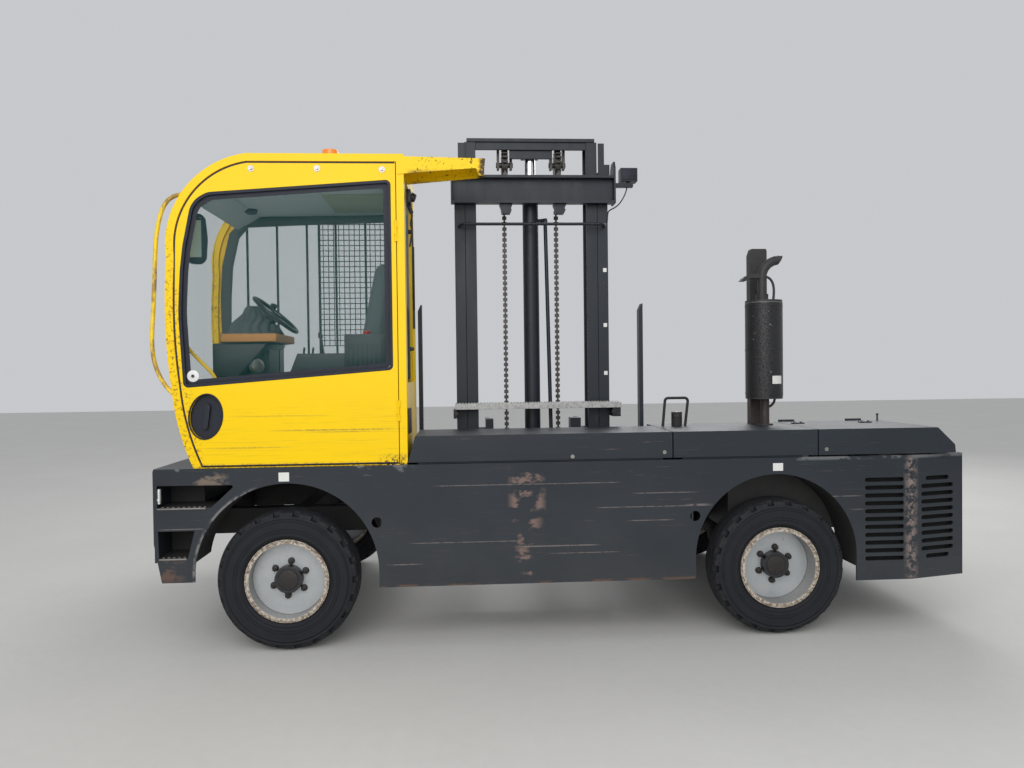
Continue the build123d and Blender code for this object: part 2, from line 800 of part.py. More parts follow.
# Door with its window, rubber and pull
pull_x = -2143
pull_z = 1382
with BuildPart() as cab_door:
    with BuildSketch(facing_side(cab_face)):
        offset(cab_outline.sketch, amount=-hoop_face - door_gap)
        add(window_outline.sketch, mode=Mode.SUBTRACT)
    extrude(amount=-door_thickness)
    block((-2600, -800), (cab_face - 10, cab_face + 90), (cab_sill - 10, door_foot), mode=Mode.SUBTRACT)
    with BuildSketch(facing_side(cab_face)):
        with Locations((pull_x, pull_z)):
            Ellipse(94, 130, rotation=-8)
    extrude(amount=-30, mode=Mode.SUBTRACT)
    door_knuckles(frame_side, door_hinge_radius + 1, extra=1, mode=Mode.SUBTRACT)
    for z in door_hinges:
        block(
            (door_hinge_x - 12, door_hinge_x),
            (door_hinge_y - 4, cab_face + 8),
            (z - knuckle_length / 2, z + knuckle_length / 2),
        )
    door_knuckles(door_hinges, door_hinge_radius)
    door_knuckles(door_hinges, door_pin + bearing_play, extra=1, mode=Mode.SUBTRACT)
save(cab_door, "cab_door")

with BuildPart() as door_trim:
    with BuildSketch(facing_side(cab_face)):
        add(window_outline.sketch)
        offset(window_outline.sketch, amount=-rubber, mode=Mode.SUBTRACT)
    extrude(amount=-door_thickness)
    with BuildSketch(facing_side(cab_face + 24)):
        with Locations((pull_x, pull_z)):
            Ellipse(94, 130, rotation=-8)
    extrude(amount=-6)
    with BuildSketch(facing_side(cab_face + 4)):
        with Locations((pull_x, pull_z)):
            SlotOverall(150, 34, rotation=82)
    extrude(amount=-20)
save(door_trim, "door_trim")

with BuildPart() as door_glass:
    with BuildSketch(facing_side(cab_face + 15)):
        offset(window_outline.sketch, amount=-rubber)
    extrude(amount=-glass)
save(door_glass, "door_glass")

# Guard over the load side window: bars and a mesh panel
guard_y = cab_back
guard_rod = 12
guard_low = 1545
guard_high = 2765
mesh_start = -1650
mesh_end = -1150
mesh_low = 1815
mesh_wire = 5
mesh_columns = 14
mesh_rows = 26
guard_bars = (-2134, -1931, -1727, -1530, -1325)
with BuildPart() as window_guard:
    for z in (guard_low, guard_high):
        block((-2310, -1030), (guard_y, guard_y + guard_rod), (z - 10, z + 10))
    for x in guard_bars:
        block(
            (x - 7, x + 7),
            (guard_y + guard_rod, guard_y + 2 * guard_rod),
            (guard_low - 10, guard_high + 10),
        )
    for x in (mesh_start, mesh_end - 16):
        block((x, x + 16), (guard_y, guard_y + guard_rod), (guard_low, guard_high))
    mesh_width = mesh_end - mesh_start
    mesh_height = guard_high - mesh_low
    with BuildSketch(facing_side(guard_y)):
        wires = [mesh_start + mesh_width / mesh_columns * column for column in range(1, mesh_columns)]
        with Locations(*[(x, mesh_low + mesh_height / 2) for x in wires]):
            Rectangle(mesh_wire, mesh_height)
    extrude(amount=-mesh_wire)
    with BuildSketch(facing_side(guard_y + mesh_wire)):
        wires = [mesh_low + mesh_height / mesh_rows * row for row in range(mesh_rows)]
        with Locations(*[((mesh_start + mesh_end) / 2, z) for z in wires]):
            Rectangle(mesh_width - 20, mesh_wire)
    extrude(amount=-mesh_wire)
save(window_guard, "window_guard")

# Arm that runs back from the roof: a channel open underneath, closed by a plate at its tip
arm_width = 270
arm_tip = -511
arm_top = 2884
arm_tip_top = 2873
arm_lip = 2770
arm_far_lip = 2827
arm_sheet = 6
arm_near = cab_face - arm_sheet
arm_far = arm_near + arm_width
with BuildPart() as roof_arm:
    with BuildSketch(facing_side(arm_near)):
        with BuildLine():
            Polyline(
                (-1024, arm_top),
                (arm_tip, arm_tip_top),
                (arm_tip - 12, arm_lip),
                (arm_tip - 42, arm_lip + 4),
                (arm_tip - 50, 2812),
                (-575, 2817),
                (-1024, 2781),
                close=True,
            )
        make_face()
    extrude(amount=-arm_sheet)
    with BuildSketch(facing_side(arm_far - arm_sheet)):
        with BuildLine():
            Polyline(
                (cab_rear, arm_top),
                (arm_tip, arm_tip_top),
                (arm_tip - 6, arm_far_lip),
                (cab_rear, 2783),
                close=True,
            )
        make_face()
    extrude(amount=-arm_sheet)
    with BuildSketch(facing_side(arm_near)):
        with BuildLine():
            Polyline(
                (cab_rear, arm_top),
                (arm_tip, arm_tip_top),
                (arm_tip, arm_tip_top - arm_sheet),
                (cab_rear, arm_top - arm_sheet),
                close=True,
            )
        make_face()
    extrude(amount=-arm_width)
    with BuildSketch(facing_end(arm_tip - 12)):
        with BuildLine():
            Polyline(
                (arm_near, arm_tip_top - 2),
                (arm_far, arm_tip_top - 2),
                (arm_far, arm_far_lip),
                (arm_near + 60, arm_lip + 6),
                (arm_near, arm_lip),
                close=True,
            )
        make_face()
    extrude(amount=arm_sheet)
save(roof_arm, "roof_arm")

rail_y = cab_face + hoop_depth / 2
with BuildPart() as grab_rail:
    with BuildLine():
        rail_path = Spline(
            (-2262, rail_y, 2668),
            (-2342, rail_y, 2634),
            (-2395, rail_y, 2520),
            (-2425, rail_y, 2240),
            (-2441, rail_y, 1957),
            (-2440, rail_y, 1720),
            (-2405, rail_y, 1612),
            (-2322, rail_y, 1505),
        )
    with BuildSketch(Plane(origin=rail_path @ 0, z_dir=rail_path % 0)):
        Circle(12)
    sweep()
    with BuildSketch(facing_side(cab_face)):
        offset(cab_outline.sketch, amount=seat_gap)
    extrude(amount=-hoop_depth, mode=Mode.SUBTRACT)
save(grab_rail, "grab_rail")

with BuildPart() as beacon:
    bar((-1467, cab_face + 350, cab_top), (-1467, cab_face + 350, cab_top + 27), 62)
    bar((-1467, cab_face + 350, cab_top + 27), (-1467, cab_face + 350, cab_top + 115), 50)
save(beacon, "beacon")

# Cab fittings
seat_y = cab_face + 440
with BuildPart() as seat:
    block((-1700, -1260), (seat_y - 240, seat_y + 240), (1470, 1590))
    with BuildSketch(facing_side(seat_y - 230)):
        Polygon((-1290, 1590), (-1180, 1590), (-1080, 2280), (-1150, 2330), (-1190, 2300), align=None)
    extrude(amount=-460)
save(seat, "seat")
with BuildPart() as cab_floor:
    block((-2150, cab_rear - cab_sheet), (hoop_inner, hoop_far), (deck_top, deck_top + 12))
    block((-1720, -1180), (seat_y - 260, seat_y + 260), (deck_top + 12, 1470))
    block((-1780, -1300), (seat_y + 250, seat_y + 370), (1595, 1690))
    block((-1760, -1700), (seat_y + 270, seat_y + 350), (deck_top + 12, 1595))
    for x in (-1740, -1680, -1620):
        bar((x, seat_y + 310, 1690), (x + 12, seat_y + 310, 1800), 7)
save(cab_floor, "cab_floor")
dash_top = 1880
wheel_hub = Vector(-1840, seat_y, 1998)
column_axis = Vector(0.655, 0, 0.756).normalized()
with BuildPart() as dash:
    block((-2200, -1870), (seat_y - 60, seat_y + 330), (1600, 1820))
    block((-2180, -2000), (seat_y + 60, seat_y + 200), (deck_top + 12, 1600))
    block((-2170, -1830), (seat_y - 60, seat_y + 330), (1820, dash_top))
    with BuildSketch(Plane.XY.offset(dash_top)):
        with Locations((-1990, seat_y)):
            Circle(50)
    with BuildSketch(Plane(origin=wheel_hub - column_axis * (30 + seat_gap), z_dir=column_axis)):
        Circle(34)
    loft()
save(dash, "dash")
with BuildPart() as steering_wheel:
    with BuildSketch(Plane(origin=wheel_hub, x_dir=(0, 1, 0), z_dir=Vector(0, 1, 0).cross(column_axis))):
        with Locations((163, 0)):
            Circle(13)
    revolve(axis=Axis(wheel_hub, column_axis))
    with BuildSketch(Plane(origin=wheel_hub - column_axis * 6, z_dir=column_axis)):
        with PolarLocations(90, 3):
            Rectangle(142, 26)
    extrude(amount=8)
    with BuildSketch(Plane(origin=wheel_hub - column_axis * 30, z_dir=column_axis)):
        Circle(30)
    extrude(amount=44)
save(steering_wheel, "steering_wheel")
mirror_y = cab_face + 188
with BuildPart() as mirror:
    with BuildSketch(facing_side(mirror_y)):
        with BuildLine():
            FilletPolyline(
                (-2300, 2291), (-2186, 2285), (-2176, 2440), (-2190, 2592), (-2290, 2589), (-2318, 2440),
                radius=48, close=True,
            )
        make_face()
    extrude(amount=-14)
    bar((-2300, hoop_inner, 2450), (-2300, mirror_y + 7, 2450), 7)
save(mirror, "mirror")

# Exhaust stack on the engine hood, with the air duct behind it
stack_x = 1310
stack_y = cab_side + 430
muffler_x = 1320
muffler_radius = 114
muffler_foot = 1424
muffler_head = 2067
pipe_foot_x = 1325
tail_radius = 30
tail_bend = 114
tail_top = 2332
tail_mouth = 1446
duct_start = 1273
duct_end = 1391
duct_near = stack_y + 118
duct_far = stack_y + 178
duct_head = 2426
tube_radius = 8
with BuildPart() as exhaust_stack:
    bar((pipe_foot_x, stack_y, hood_top), (pipe_foot_x, stack_y, muffler_foot), tail_radius - 2)
    bar((pipe_foot_x, stack_y, hood_top), (pipe_foot_x, stack_y, hood_top + 10), 52)
    bar((muffler_x, stack_y, muffler_foot), (muffler_x, stack_y, muffler_head), muffler_radius)
    for z in (muffler_foot, muffler_head - 10):
        bar((muffler_x, stack_y, z), (muffler_x, stack_y, z + 10), muffler_radius + 3)
    bar((stack_x, stack_y, muffler_head), (stack_x, stack_y, muffler_head + 42), 40)
    with BuildLine():
        tail_path = FilletPolyline(
            (stack_x, stack_y, muffler_head),
            (stack_x, stack_y, tail_top),
            (tail_mouth + 20, stack_y, tail_top),
            radius=tail_bend,
        )
    with BuildSketch(Plane(origin=tail_path @ 0, z_dir=tail_path % 0)):
        Circle(tail_radius)
    sweep()
    bar(
        (tail_mouth - 60, stack_y, tail_top),
        (tail_mouth + 21, stack_y, tail_top),
        tail_radius - 3,
        mode=Mode.SUBTRACT,
    )
    with BuildSketch(facing_side(stack_y - 50)):
        with BuildLine():
            Polyline(
                (tail_mouth, tail_top + tail_radius),
                (tail_mouth + 60, tail_top + tail_radius),
                (tail_mouth + 60, tail_top - tail_radius - 2),
                (tail_mouth - 32, tail_top - tail_radius - 2),
                close=True,
            )
        make_face()
    extrude(amount=-100, mode=Mode.SUBTRACT)
    with BuildSketch(facing_side(stack_y - 25)):
        with BuildLine():
            Polyline(
                (1290, 2243),
                (1230, 2241),
                (1200, 2231),
                (1178, 2215),
                (1160, 2195),
                (1193, 2194),
                (1211, 2209),
                (1226, 2213),
                (1290, 2213),
                close=True,
            )
        make_face()
    extrude(amount=-50)
    with BuildLine():
        upper_tube = Spline(
            (1334, stack_y, 2226),
            (1374, stack_y, 2199),
            (1390, stack_y, 2141),
            (1385, stack_y, muffler_head - 5),
        )
    with BuildSketch(Plane(origin=upper_tube @ 0, z_dir=upper_tube % 0)):
        Circle(tube_radius)
    sweep()
    with BuildLine():
        lower_tube = Spline(
            (
                1392,
                stack_y,
                muffler_foot + 5,
            ), (1386, stack_y, 1400), (1371, stack_y, 1380), (1342, stack_y, 1367)
        )
    with BuildSketch(Plane(origin=lower_tube @ 0, z_dir=lower_tube % 0)):
        Circle(tube_radius)
    sweep()
    with BuildSketch(facing_side(duct_near)):
        with BuildLine():
            Polyline(
                (duct_start, hood_top),
                (duct_start, duct_head - 42),
                (duct_start + 15, duct_head),
                (duct_end - 6, duct_head),
                (duct_end, duct_head - 12),
                (duct_end, hood_top),
                close=True,
            )
        make_face()
    extrude(amount=-(duct_far - duct_near))
    for z in (1500, 1960):
        block((muffler_x - 25, muffler_x + 25), (stack_y + 100, duct_near + 5), (z, z + 40))
save(exhaust_stack, "exhaust_stack")

hoop_y = cab_side + 480
with BuildPart() as hood_hoop:
    with BuildLine():
        hoop_path = FilletPolyline(
            (654, hoop_y, hood_top - 10),
            (672, hoop_y, 1434),
            (826, hoop_y, 1434),
            (803, hoop_y, hood_top - 10),
            radius=22,
        )
    with BuildSketch(Plane(origin=hoop_path @ 0, z_dir=hoop_path % 0)):
        Circle(9)
    sweep()
    block((600, 900), (hoop_y - 20, hoop_y + 20), (hood_top - 40, hood_top), mode=Mode.SUBTRACT)
    bar((748, hoop_y, hood_top), (748, hoop_y, 1341), 35)
save(hood_hoop, "hood_hoop")

# Tilt cylinders: places shared by the reach frame, the mast and the cylinders
tilt_x = 420
tilt_y = cab_side + 640
tilt_foot_z = 560
tilt_eye_z = 1080
tilt_eye = 18
tilt_ear = 12
tilt_pin = 12
tilt_rod = 15
tilt_eye_play = 1


def tilt_ears(start_y, end_y, z):
    """Pairs of ears with their pins, one pair for each tilt cylinder."""
    for x in (mast_x - tilt_x, mast_x + tilt_x):
        for ear in (x - tilt_eye - 2 - tilt_ear, x + tilt_eye + 2):
            block((ear, ear + tilt_ear), (start_y, end_y), (z - 25, z + 25))
        bar((x - tilt_eye - tilt_ear, tilt_y, z), (x + tilt_eye + tilt_ear, tilt_y, z), tilt_pin)


# Reach frame: side plates on rollers in the rails, tied behind the mast
reach_plate = 20
reach_side = 680
reach_low = 400
reach_high = 690
reach_back = cab_side + 560
reach_front = cab_side + 1060
trunnion_z = 500
trunnion_y = cab_side + mast_back + upright_depth / 2
trunnion_radius = 30
roller_z = rail_bottom + rail_wall + roller_play + reach_roller
with BuildPart() as reach_frame:
    for side in (-1, 1):
        inner = mast_x + side * (reach_side - reach_plate)
        outer = mast_x + side * reach_side
        block(sorted((inner, outer)), (reach_back, reach_front), (reach_low, reach_high))
        for y in (reach_back + 70, reach_front - 70):
            roller_end = mast_x + side * (well_half - rail_wall - 4)
            bar((outer, y, roller_z), (roller_end, y, roller_z), reach_roller)
        bar(
            (inner - side, trunnion_y, trunnion_z),
            (outer + side, trunnion_y, trunnion_z),
            trunnion_radius + bearing_play,
            mode=Mode.SUBTRACT,
        )
    block(
        (mast_x - reach_side + reach_plate, mast_x + reach_side - reach_plate),
        (reach_back, reach_back + 40),
        (reach_low, 640),
    )
    tilt_ears(reach_back + 40, tilt_y + 25, tilt_foot_z)
save(reach_frame, "reach_frame")

# Lift chains and their sheaves
chain_places = (mast_x - 174, mast_x + 190)
chain_width = 30
sheave_radius = 85
sheave_z = inner_head - 129
sheave_y = cab_side + 790
chain_pitch = 38
near_chain_y = sheave_y - sheave_radius - 10
far_chain_y = sheave_y + sheave_radius + 10
beam_low = mast_head - 219
beam_high = mast_head - 33
beam_start = mast_x - 542
beam_end = mast_x + 565
beam_plate = 12
beam_flange = 18
beam_front = cab_side + 610
beam_gap = 6
beam_back = cab_side + mast_back - beam_gap
tongue_top = mast_head + 193
block_top = mast_head + 50
chain_head = sheave_z - 60
chain_waist = 12
chain_depth = 18

with BuildPart() as outer_mast:
    for side in (-1, 1):
        with BuildSketch(Plane.XY.offset(mast_foot)):
            with Locations((mast_x + side * (mast_half - outer_face / 2), trunnion_y)):
                Rectangle(outer_face, upright_depth)
            with Locations((mast_x + side * (mast_half - outer_face / 2 - upright_wall / 2), trunnion_y)):
                Rectangle(outer_face - upright_wall, upright_depth - 2 * upright_wall, mode=Mode.SUBTRACT)
        extrude(amount=mast_head - mast_foot)
        bar(
            (mast_x + side * mast_half, trunnion_y, trunnion_z),
            (mast_x + side * (reach_side + 4), trunnion_y, trunnion_z),
            trunnion_radius,
        )
        bar(
            (mast_x + side * mast_half, trunnion_y, trunnion_z),
            (mast_x + side * (reach_side - reach_plate - 6), trunnion_y, trunnion_z),
            55,
        )
        block(
            sorted((mast_x + side * 455, mast_x + side * mast_half)),
            (beam_back, cab_side + mast_back),
            (beam_low, beam_high),
        )
    block(
        (mast_x - mast_half, mast_x + mast_half),
        (cab_side + mast_back + 20, cab_side + mast_back + 120),
        (mast_foot - 40, mast_foot),
    )
    block((beam_start, beam_end), (beam_back - beam_plate, beam_back), (beam_low, beam_high))
    for z in (beam_low, beam_high - beam_flange):
        block((beam_start, beam_end), (beam_front, beam_back - beam_plate), (z, z + beam_flange))
    block((beam_start, beam_start + 10), (beam_front, beam_back), (beam_low, beam_high))
    with BuildSketch(facing_end(beam_end - beam_plate)):
        with BuildLine():
            Polyline(
                (beam_front, beam_low),
                (beam_front, mast_head + 20),
                (beam_front + 25, mast_head + 63),
                (beam_front + 110, mast_head + 63),
                (beam_front + 140, mast_head + 20),
                (beam_front + 140, beam_low + 40),
                (beam_front + 110, beam_low),
                close=True,
            )
        make_face()
    extrude(amount=beam_plate)
    for start, end, top in ((-492, -444, tongue_top), (455, 496, tongue_top), (496, 533, block_top)):
        block(
            (mast_x + start, mast_x + end),
            (beam_back - beam_plate, beam_back),
            (beam_high - beam_flange, top),
        )
    tilt_ears(tilt_y - 25, cab_side + mast_back, tilt_eye_z)
    for x in chain_places:
        with BuildSketch(facing_side(cab_side + 640)):
            with BuildLine():
                Polyline(
                    (x - 45, beam_low),
                    (x + 45, beam_low),
                    (x + 32, beam_low - 26),
                    (x + 38, beam_low - 40),
                    (x + 28, beam_low - 62),
                    (x - 28, beam_low - 62),
                    (x - 34, beam_low - 26),
                    close=True,
                )
            make_face()
        extrude(amount=-(near_chain_y + 14 - cab_side - 640))
save(outer_mast, "outer_mast")

cylinder_y = cab_side + 770
mast_roller = upright_depth / 2 - upright_wall - roller_gap
pipe_y = cab_side + 705
pipe_radius = 13
pipe_foot = (mast_x + 134, pipe_y, 420)
pipe_head = (mast_x + 95, pipe_y, beam_low - 101)
cylinder_radius = 54
lift_rod_radius = 36
cylinder_head = mast_head - 65
with BuildPart() as lift_cylinder:
    bar((mast_x, cylinder_y, mast_foot), (mast_x, cylinder_y, cylinder_head), cylinder_radius)
    bar((mast_x, cylinder_y, cylinder_head - 60), (mast_x, cylinder_y, cylinder_head), cylinder_radius + 8)
    bar(pipe_foot, pipe_head, pipe_radius)
    bar((mast_x + 103, pipe_y, pipe_head[2]), (mast_x + 40, cylinder_y - 20, pipe_head[2]), pipe_radius + 4)
    block((mast_x + 45, mast_x + 131), (pipe_y - 10, cylinder_y - 15), (640, 670))
    bar(
        (mast_x, cylinder_y, 350),
        (mast_x, cylinder_y, cylinder_head + 1),
        lift_rod_radius + bearing_play,
        mode=Mode.SUBTRACT,
    )
save(lift_cylinder, "lift_cylinder")
lift_rod_head = inner_head - 87
with BuildPart() as lift_rod:
    bar((mast_x, cylinder_y, 620), (mast_x, cylinder_y, lift_rod_head), lift_rod_radius)
save(lift_rod, "lift_rod")

inner_outer = mast_half - outer_face - mast_play
crosshead_half = 433
with BuildPart() as inner_mast:
    for side in (-1, 1):
        with BuildSketch(Plane.XY.offset(inner_foot)):
            with Locations((mast_x + side * (inner_outer - inner_face / 2), trunnion_y)):
                Rectangle(inner_face, upright_depth)
            with Locations((mast_x + side * (inner_outer - inner_face / 2 - upright_wall / 2), trunnion_y)):
                Rectangle(inner_face - upright_wall, upright_depth - 2 * upright_wall, mode=Mode.SUBTRACT)
        extrude(amount=inner_head - inner_foot)
        bar(
            (mast_x + side * inner_outer, trunnion_y, inner_foot + 90),
            (mast_x + side * (mast_half - upright_wall - 4), trunnion_y, inner_foot + 90),
            mast_roller,
        )
    block(
        (mast_x - crosshead_half, mast_x + crosshead_half),
        (cab_side + 672, cab_side + 835),
        (inner_head, inner_head + 23),
    )
    block(
        (mast_x - inner_outer + 5, mast_x + inner_outer - 5),
        (cab_side + 686, cab_side + 704),
        (inner_head - 50, inner_head),
    )
    block((mast_x - 144, mast_x + 144), (cab_side + 704, cab_side + 724), (inner_head - 105, inner_head))
    block((mast_x - 60, mast_x + 60), (cab_side + 724, cylinder_y + 50), (lift_rod_head, inner_head))
save(inner_mast, "inner_mast")

with BuildPart() as sheaves:
    for x in chain_places:
        bar((x - 20, sheave_y, sheave_z), (x + 20, sheave_y, sheave_z), sheave_radius)
        bar((x - 17, sheave_y, sheave_z), (x + 17, sheave_y, sheave_z), sheave_radius - 12)
        bar((x - 58, sheave_y, sheave_z), (x + 58, sheave_y, sheave_z), 18)
        for start in (x - 52, x + 36):
            block((start, start + 16), (sheave_y - 30, sheave_y + 30), (sheave_z - 30, inner_head))
save(sheaves, "sheaves")


def chain_outline(x, foot, head):
    """Front view of a run of chain: one tooth for each link, down one edge and up the other."""
    edge = [(0, foot)]
    count = int((head - foot) / chain_pitch)
    for link in range(count):
        low = foot + chain_pitch * (link + 0.2)
        edge += [
            (chain_waist / 2, low),
            (chain_width / 2, low),
            (chain_width / 2, low + chain_pitch * 0.6),
            (chain_waist / 2, low + chain_pitch * 0.6),
        ]
    edge.append((0, head))
    left = [(x - across, z) for across, z in edge]
    right = [(x + across, z) for across, z in reversed(edge[1:-1])]
    return [(x - chain_waist / 2, foot)] + left[1:-1] + [
        (x - chain_waist / 2, head),
        (x + chain_waist / 2, head),
    ] + right + [(x + chain_waist / 2, foot)]


with BuildPart() as near_chains:
    with BuildSketch(facing_side(near_chain_y - chain_depth / 2)):
        for x in chain_places:
            Polygon(*chain_outline(x, beam_low, chain_head), align=None)
    extrude(amount=-chain_depth)
save(near_chains, "near_chains")

carriage_y = cab_side + mast_back + upright_depth + 20
far_chain_foot = 1120
with BuildPart() as far_chains:
    with BuildSketch(facing_side(far_chain_y - chain_depth / 2)):
        for x in chain_places:
            Polygon(*chain_outline(x, far_chain_foot, chain_head), align=None)
    extrude(amount=-chain_depth)
save(far_chains, "far_chains")

guard_rod_z = beam_low - 143
guard_rod_half = 490
guard_rod_y = cab_side + 600
lamp_foot = beam_high - 31
with BuildPart() as mast_fittings:
    with BuildLine():
        guard_path = FilletPolyline(
            (mast_x - guard_rod_half, cab_side + mast_back, guard_rod_z),
            (mast_x - guard_rod_half, guard_rod_y, guard_rod_z),
            (mast_x + guard_rod_half, guard_rod_y, guard_rod_z),
            (mast_x + guard_rod_half, cab_side + mast_back, guard_rod_z),
            radius=45,
        )
    with BuildSketch(Plane(origin=guard_path @ 0, z_dir=guard_path % 0)):
        Circle(10)
    sweep()
    for start, end in ((-542, -mast_half), (mast_half, 574)):
        block((mast_x + start, mast_x + end), (cab_side + 560, cab_side + 700), (1314, 1374))
    block((beam_end + 41, beam_end + 157), (cab_side + 650, cab_side + 730), (lamp_foot, lamp_foot + 91))
    block((beam_end + 85, beam_end + 109), (cab_side + 670, cab_side + 694), (lamp_foot - 10, lamp_foot))
    block((beam_end, beam_end + 129), (cab_side + 660, cab_side + 700), (lamp_foot - 36, lamp_foot - 10))
save(mast_fittings, "mast_fittings")

with BuildPart() as guard_plank:
    block((mast_x - 531, mast_x + 576), (cab_side + 545, cab_side + 635), (1374, 1412))
    block((mast_x - 536, mast_x + 581), (cab_side + 550, cab_side + 630), (1373, 1407), mode=Mode.SUBTRACT)
save(guard_plank, "guard_plank")

# Fork carriage
with BuildPart() as fork_carriage:
    for side in (-1, 1):
        block(
            sorted((mast_x + side * 300, mast_x + side * 325)),
            (cab_side + 700, carriage_y + 30),
            (575, 1300),
        )
        for z in (660, 1180):
            bar(
                (mast_x + side * 325, trunnion_y, z),
                (mast_x + side * (inner_outer - upright_wall - 4), trunnion_y, z),
                mast_roller,
            )
    for z in (490, 960):
        block((mast_x - 500, mast_x + 500), (carriage_y + 30, carriage_y + 70), (z, z + 110))
    for side in (-1, 1):
        block(sorted((mast_x + side * 300, mast_x + side * 325)), (carriage_y, carriage_y + 30), (490, 575))
    for start, end in ((-325, -274), (254, 325)):
        block((mast_x + start, mast_x + end), (cab_side + 700, trunnion_y + 40), (1130, 1300))
    for x in chain_places:
        block((x - 20, x + 20), (far_chain_y - 12, carriage_y + 70), (1070, far_chain_foot))
save(fork_carriage, "fork_carriage")

fork_face = carriage_y + 70
with BuildPart() as forks:
    for side in (-1, 1):
        x = mast_x + side * fork_spread
        with BuildSketch(facing_end(x - fork_width / 2)):
            with BuildLine():
                Polyline(
                    (fork_face, 1090),
                    (fork_face, fork_foot),
                    (fork_face + fork_length, fork_foot),
                    (fork_face + fork_length, fork_foot + 12),
                    (fork_face + 500, fork_foot + fork_thickness),
                    (fork_face + fork_thickness + 30, fork_foot + fork_thickness),
                    (fork_face + fork_thickness, fork_foot + fork_thickness + 30),
                    (fork_face + fork_thickness, 1090),
                    close=True,
                )
            make_face()
        extrude(amount=fork_width)
save(forks, "forks")

# Tilt cylinders behind the mast, upright between ears on the reach frame and on the mast
with BuildPart() as tilt_barrels:
    for x in (mast_x - tilt_x, mast_x + tilt_x):
        bar((x, tilt_y, tilt_foot_z + 35), (x, tilt_y, 890), 28)
        block((x - tilt_eye, x + tilt_eye), (tilt_y - 20, tilt_y + 20), (tilt_foot_z, tilt_foot_z + 36))
        bar((x - tilt_eye, tilt_y, tilt_foot_z), (x + tilt_eye, tilt_y, tilt_foot_z), 26)
        bar((x, tilt_y, tilt_foot_z + 50), (x, tilt_y, 891), tilt_rod + bearing_play, mode=Mode.SUBTRACT)
        bar(
            (x - 40, tilt_y, tilt_foot_z),
            (x + 40, tilt_y, tilt_foot_z),
            tilt_pin + bearing_play,
            mode=Mode.SUBTRACT,
        )
save(tilt_barrels, "tilt_barrels")

with BuildPart() as tilt_rods:
    for x in (mast_x - tilt_x, mast_x + tilt_x):
        bar((x, tilt_y, 660), (x, tilt_y, tilt_eye_z), tilt_rod)
        bar((x - tilt_eye, tilt_y, tilt_eye_z), (x + tilt_eye, tilt_y, tilt_eye_z), 26)
        bar(
            (x - 40, tilt_y, tilt_eye_z),
            (x + 40, tilt_y, tilt_eye_z),
            tilt_pin + tilt_eye_play,
            mode=Mode.SUBTRACT,
        )
save(tilt_rods, "tilt_rods")

print("all pieces written")
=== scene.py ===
import math

import bmesh
import bpy
from mathutils import Euler, Matrix, Vector, geometry


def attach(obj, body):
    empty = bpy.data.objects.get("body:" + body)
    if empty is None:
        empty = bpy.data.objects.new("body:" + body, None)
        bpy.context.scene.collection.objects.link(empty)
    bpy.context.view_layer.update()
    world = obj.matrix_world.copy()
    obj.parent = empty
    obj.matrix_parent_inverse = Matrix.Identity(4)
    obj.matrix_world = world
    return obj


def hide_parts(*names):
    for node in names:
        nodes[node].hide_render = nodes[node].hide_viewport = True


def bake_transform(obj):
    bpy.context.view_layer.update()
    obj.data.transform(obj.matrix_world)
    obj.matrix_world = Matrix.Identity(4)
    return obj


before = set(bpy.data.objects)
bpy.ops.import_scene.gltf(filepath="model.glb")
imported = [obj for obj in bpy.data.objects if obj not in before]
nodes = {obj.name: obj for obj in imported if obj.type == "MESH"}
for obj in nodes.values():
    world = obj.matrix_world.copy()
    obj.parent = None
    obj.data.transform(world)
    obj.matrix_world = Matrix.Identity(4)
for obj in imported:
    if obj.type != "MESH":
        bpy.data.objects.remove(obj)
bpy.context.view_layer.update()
scene = bpy.context.scene
scene.view_settings.view_transform = "Standard"
bpy.ops.object.select_all(action="DESELECT")

# Camera. It stands where the photograph was taken, about four and a half metres from the
# cab side at standing eye height, turned a little towards the engine end.
camera_place = Vector((-0.644, -5.626, 1.628))
camera_turn = math.radians(3.476)
camera_dip = math.radians(1.004)
camera_roll = math.radians(-0.686)
camera_data = bpy.data.cameras.new("camera")
camera_data.lens = 27.04
camera_data.sensor_width = 36
camera = bpy.data.objects.new("camera", camera_data)
scene.collection.objects.link(camera)
camera_aim = Euler((math.pi / 2 - camera_dip, 0, -camera_turn)).to_matrix()
camera_aim = camera_aim @ Matrix.Rotation(camera_roll, 3, "Z")
camera.matrix_world = Matrix.Translation(camera_place) @ camera_aim.to_4x4()
scene.camera = camera


# Floor and light. A pale plain floor under an even overcast sky, with one large soft
# lamp over the camera's side and a weaker one behind.
class Shade:
    """A socket of a material. Arithmetic on it adds Math nodes to the material's tree."""

    def __init__(self, tree, socket):
        self.tree = tree
        self.socket = socket

    def maths(self, operation, *values):
        return add_node(self.tree, "Math", {"operation": operation}, *(values or (self,)))

    def __add__(self, other):
        return self.maths("ADD", self, other)

    def __radd__(self, other):
        return self.maths("ADD", other, self)

    def __sub__(self, other):
        return self.maths("SUBTRACT", self, other)

    def __rsub__(self, other):
        return self.maths("SUBTRACT", other, self)

    def __mul__(self, other):
        return self.maths("MULTIPLY", self, other)

    def __rmul__(self, other):
        return self.maths("MULTIPLY", other, self)

    def clamp(self):
        return self.maths("MAXIMUM", self.maths("MINIMUM", self, 1.0), 0.0)

    def above(self, edge, width=0.05):
        """A mask that rises from 0 to 1 over a width about an edge value."""
        return ((self - (edge - width)) * (0.5 / width)).clamp()

    def below(self, edge, width=0.05):
        return 1 - self.above(edge, width)


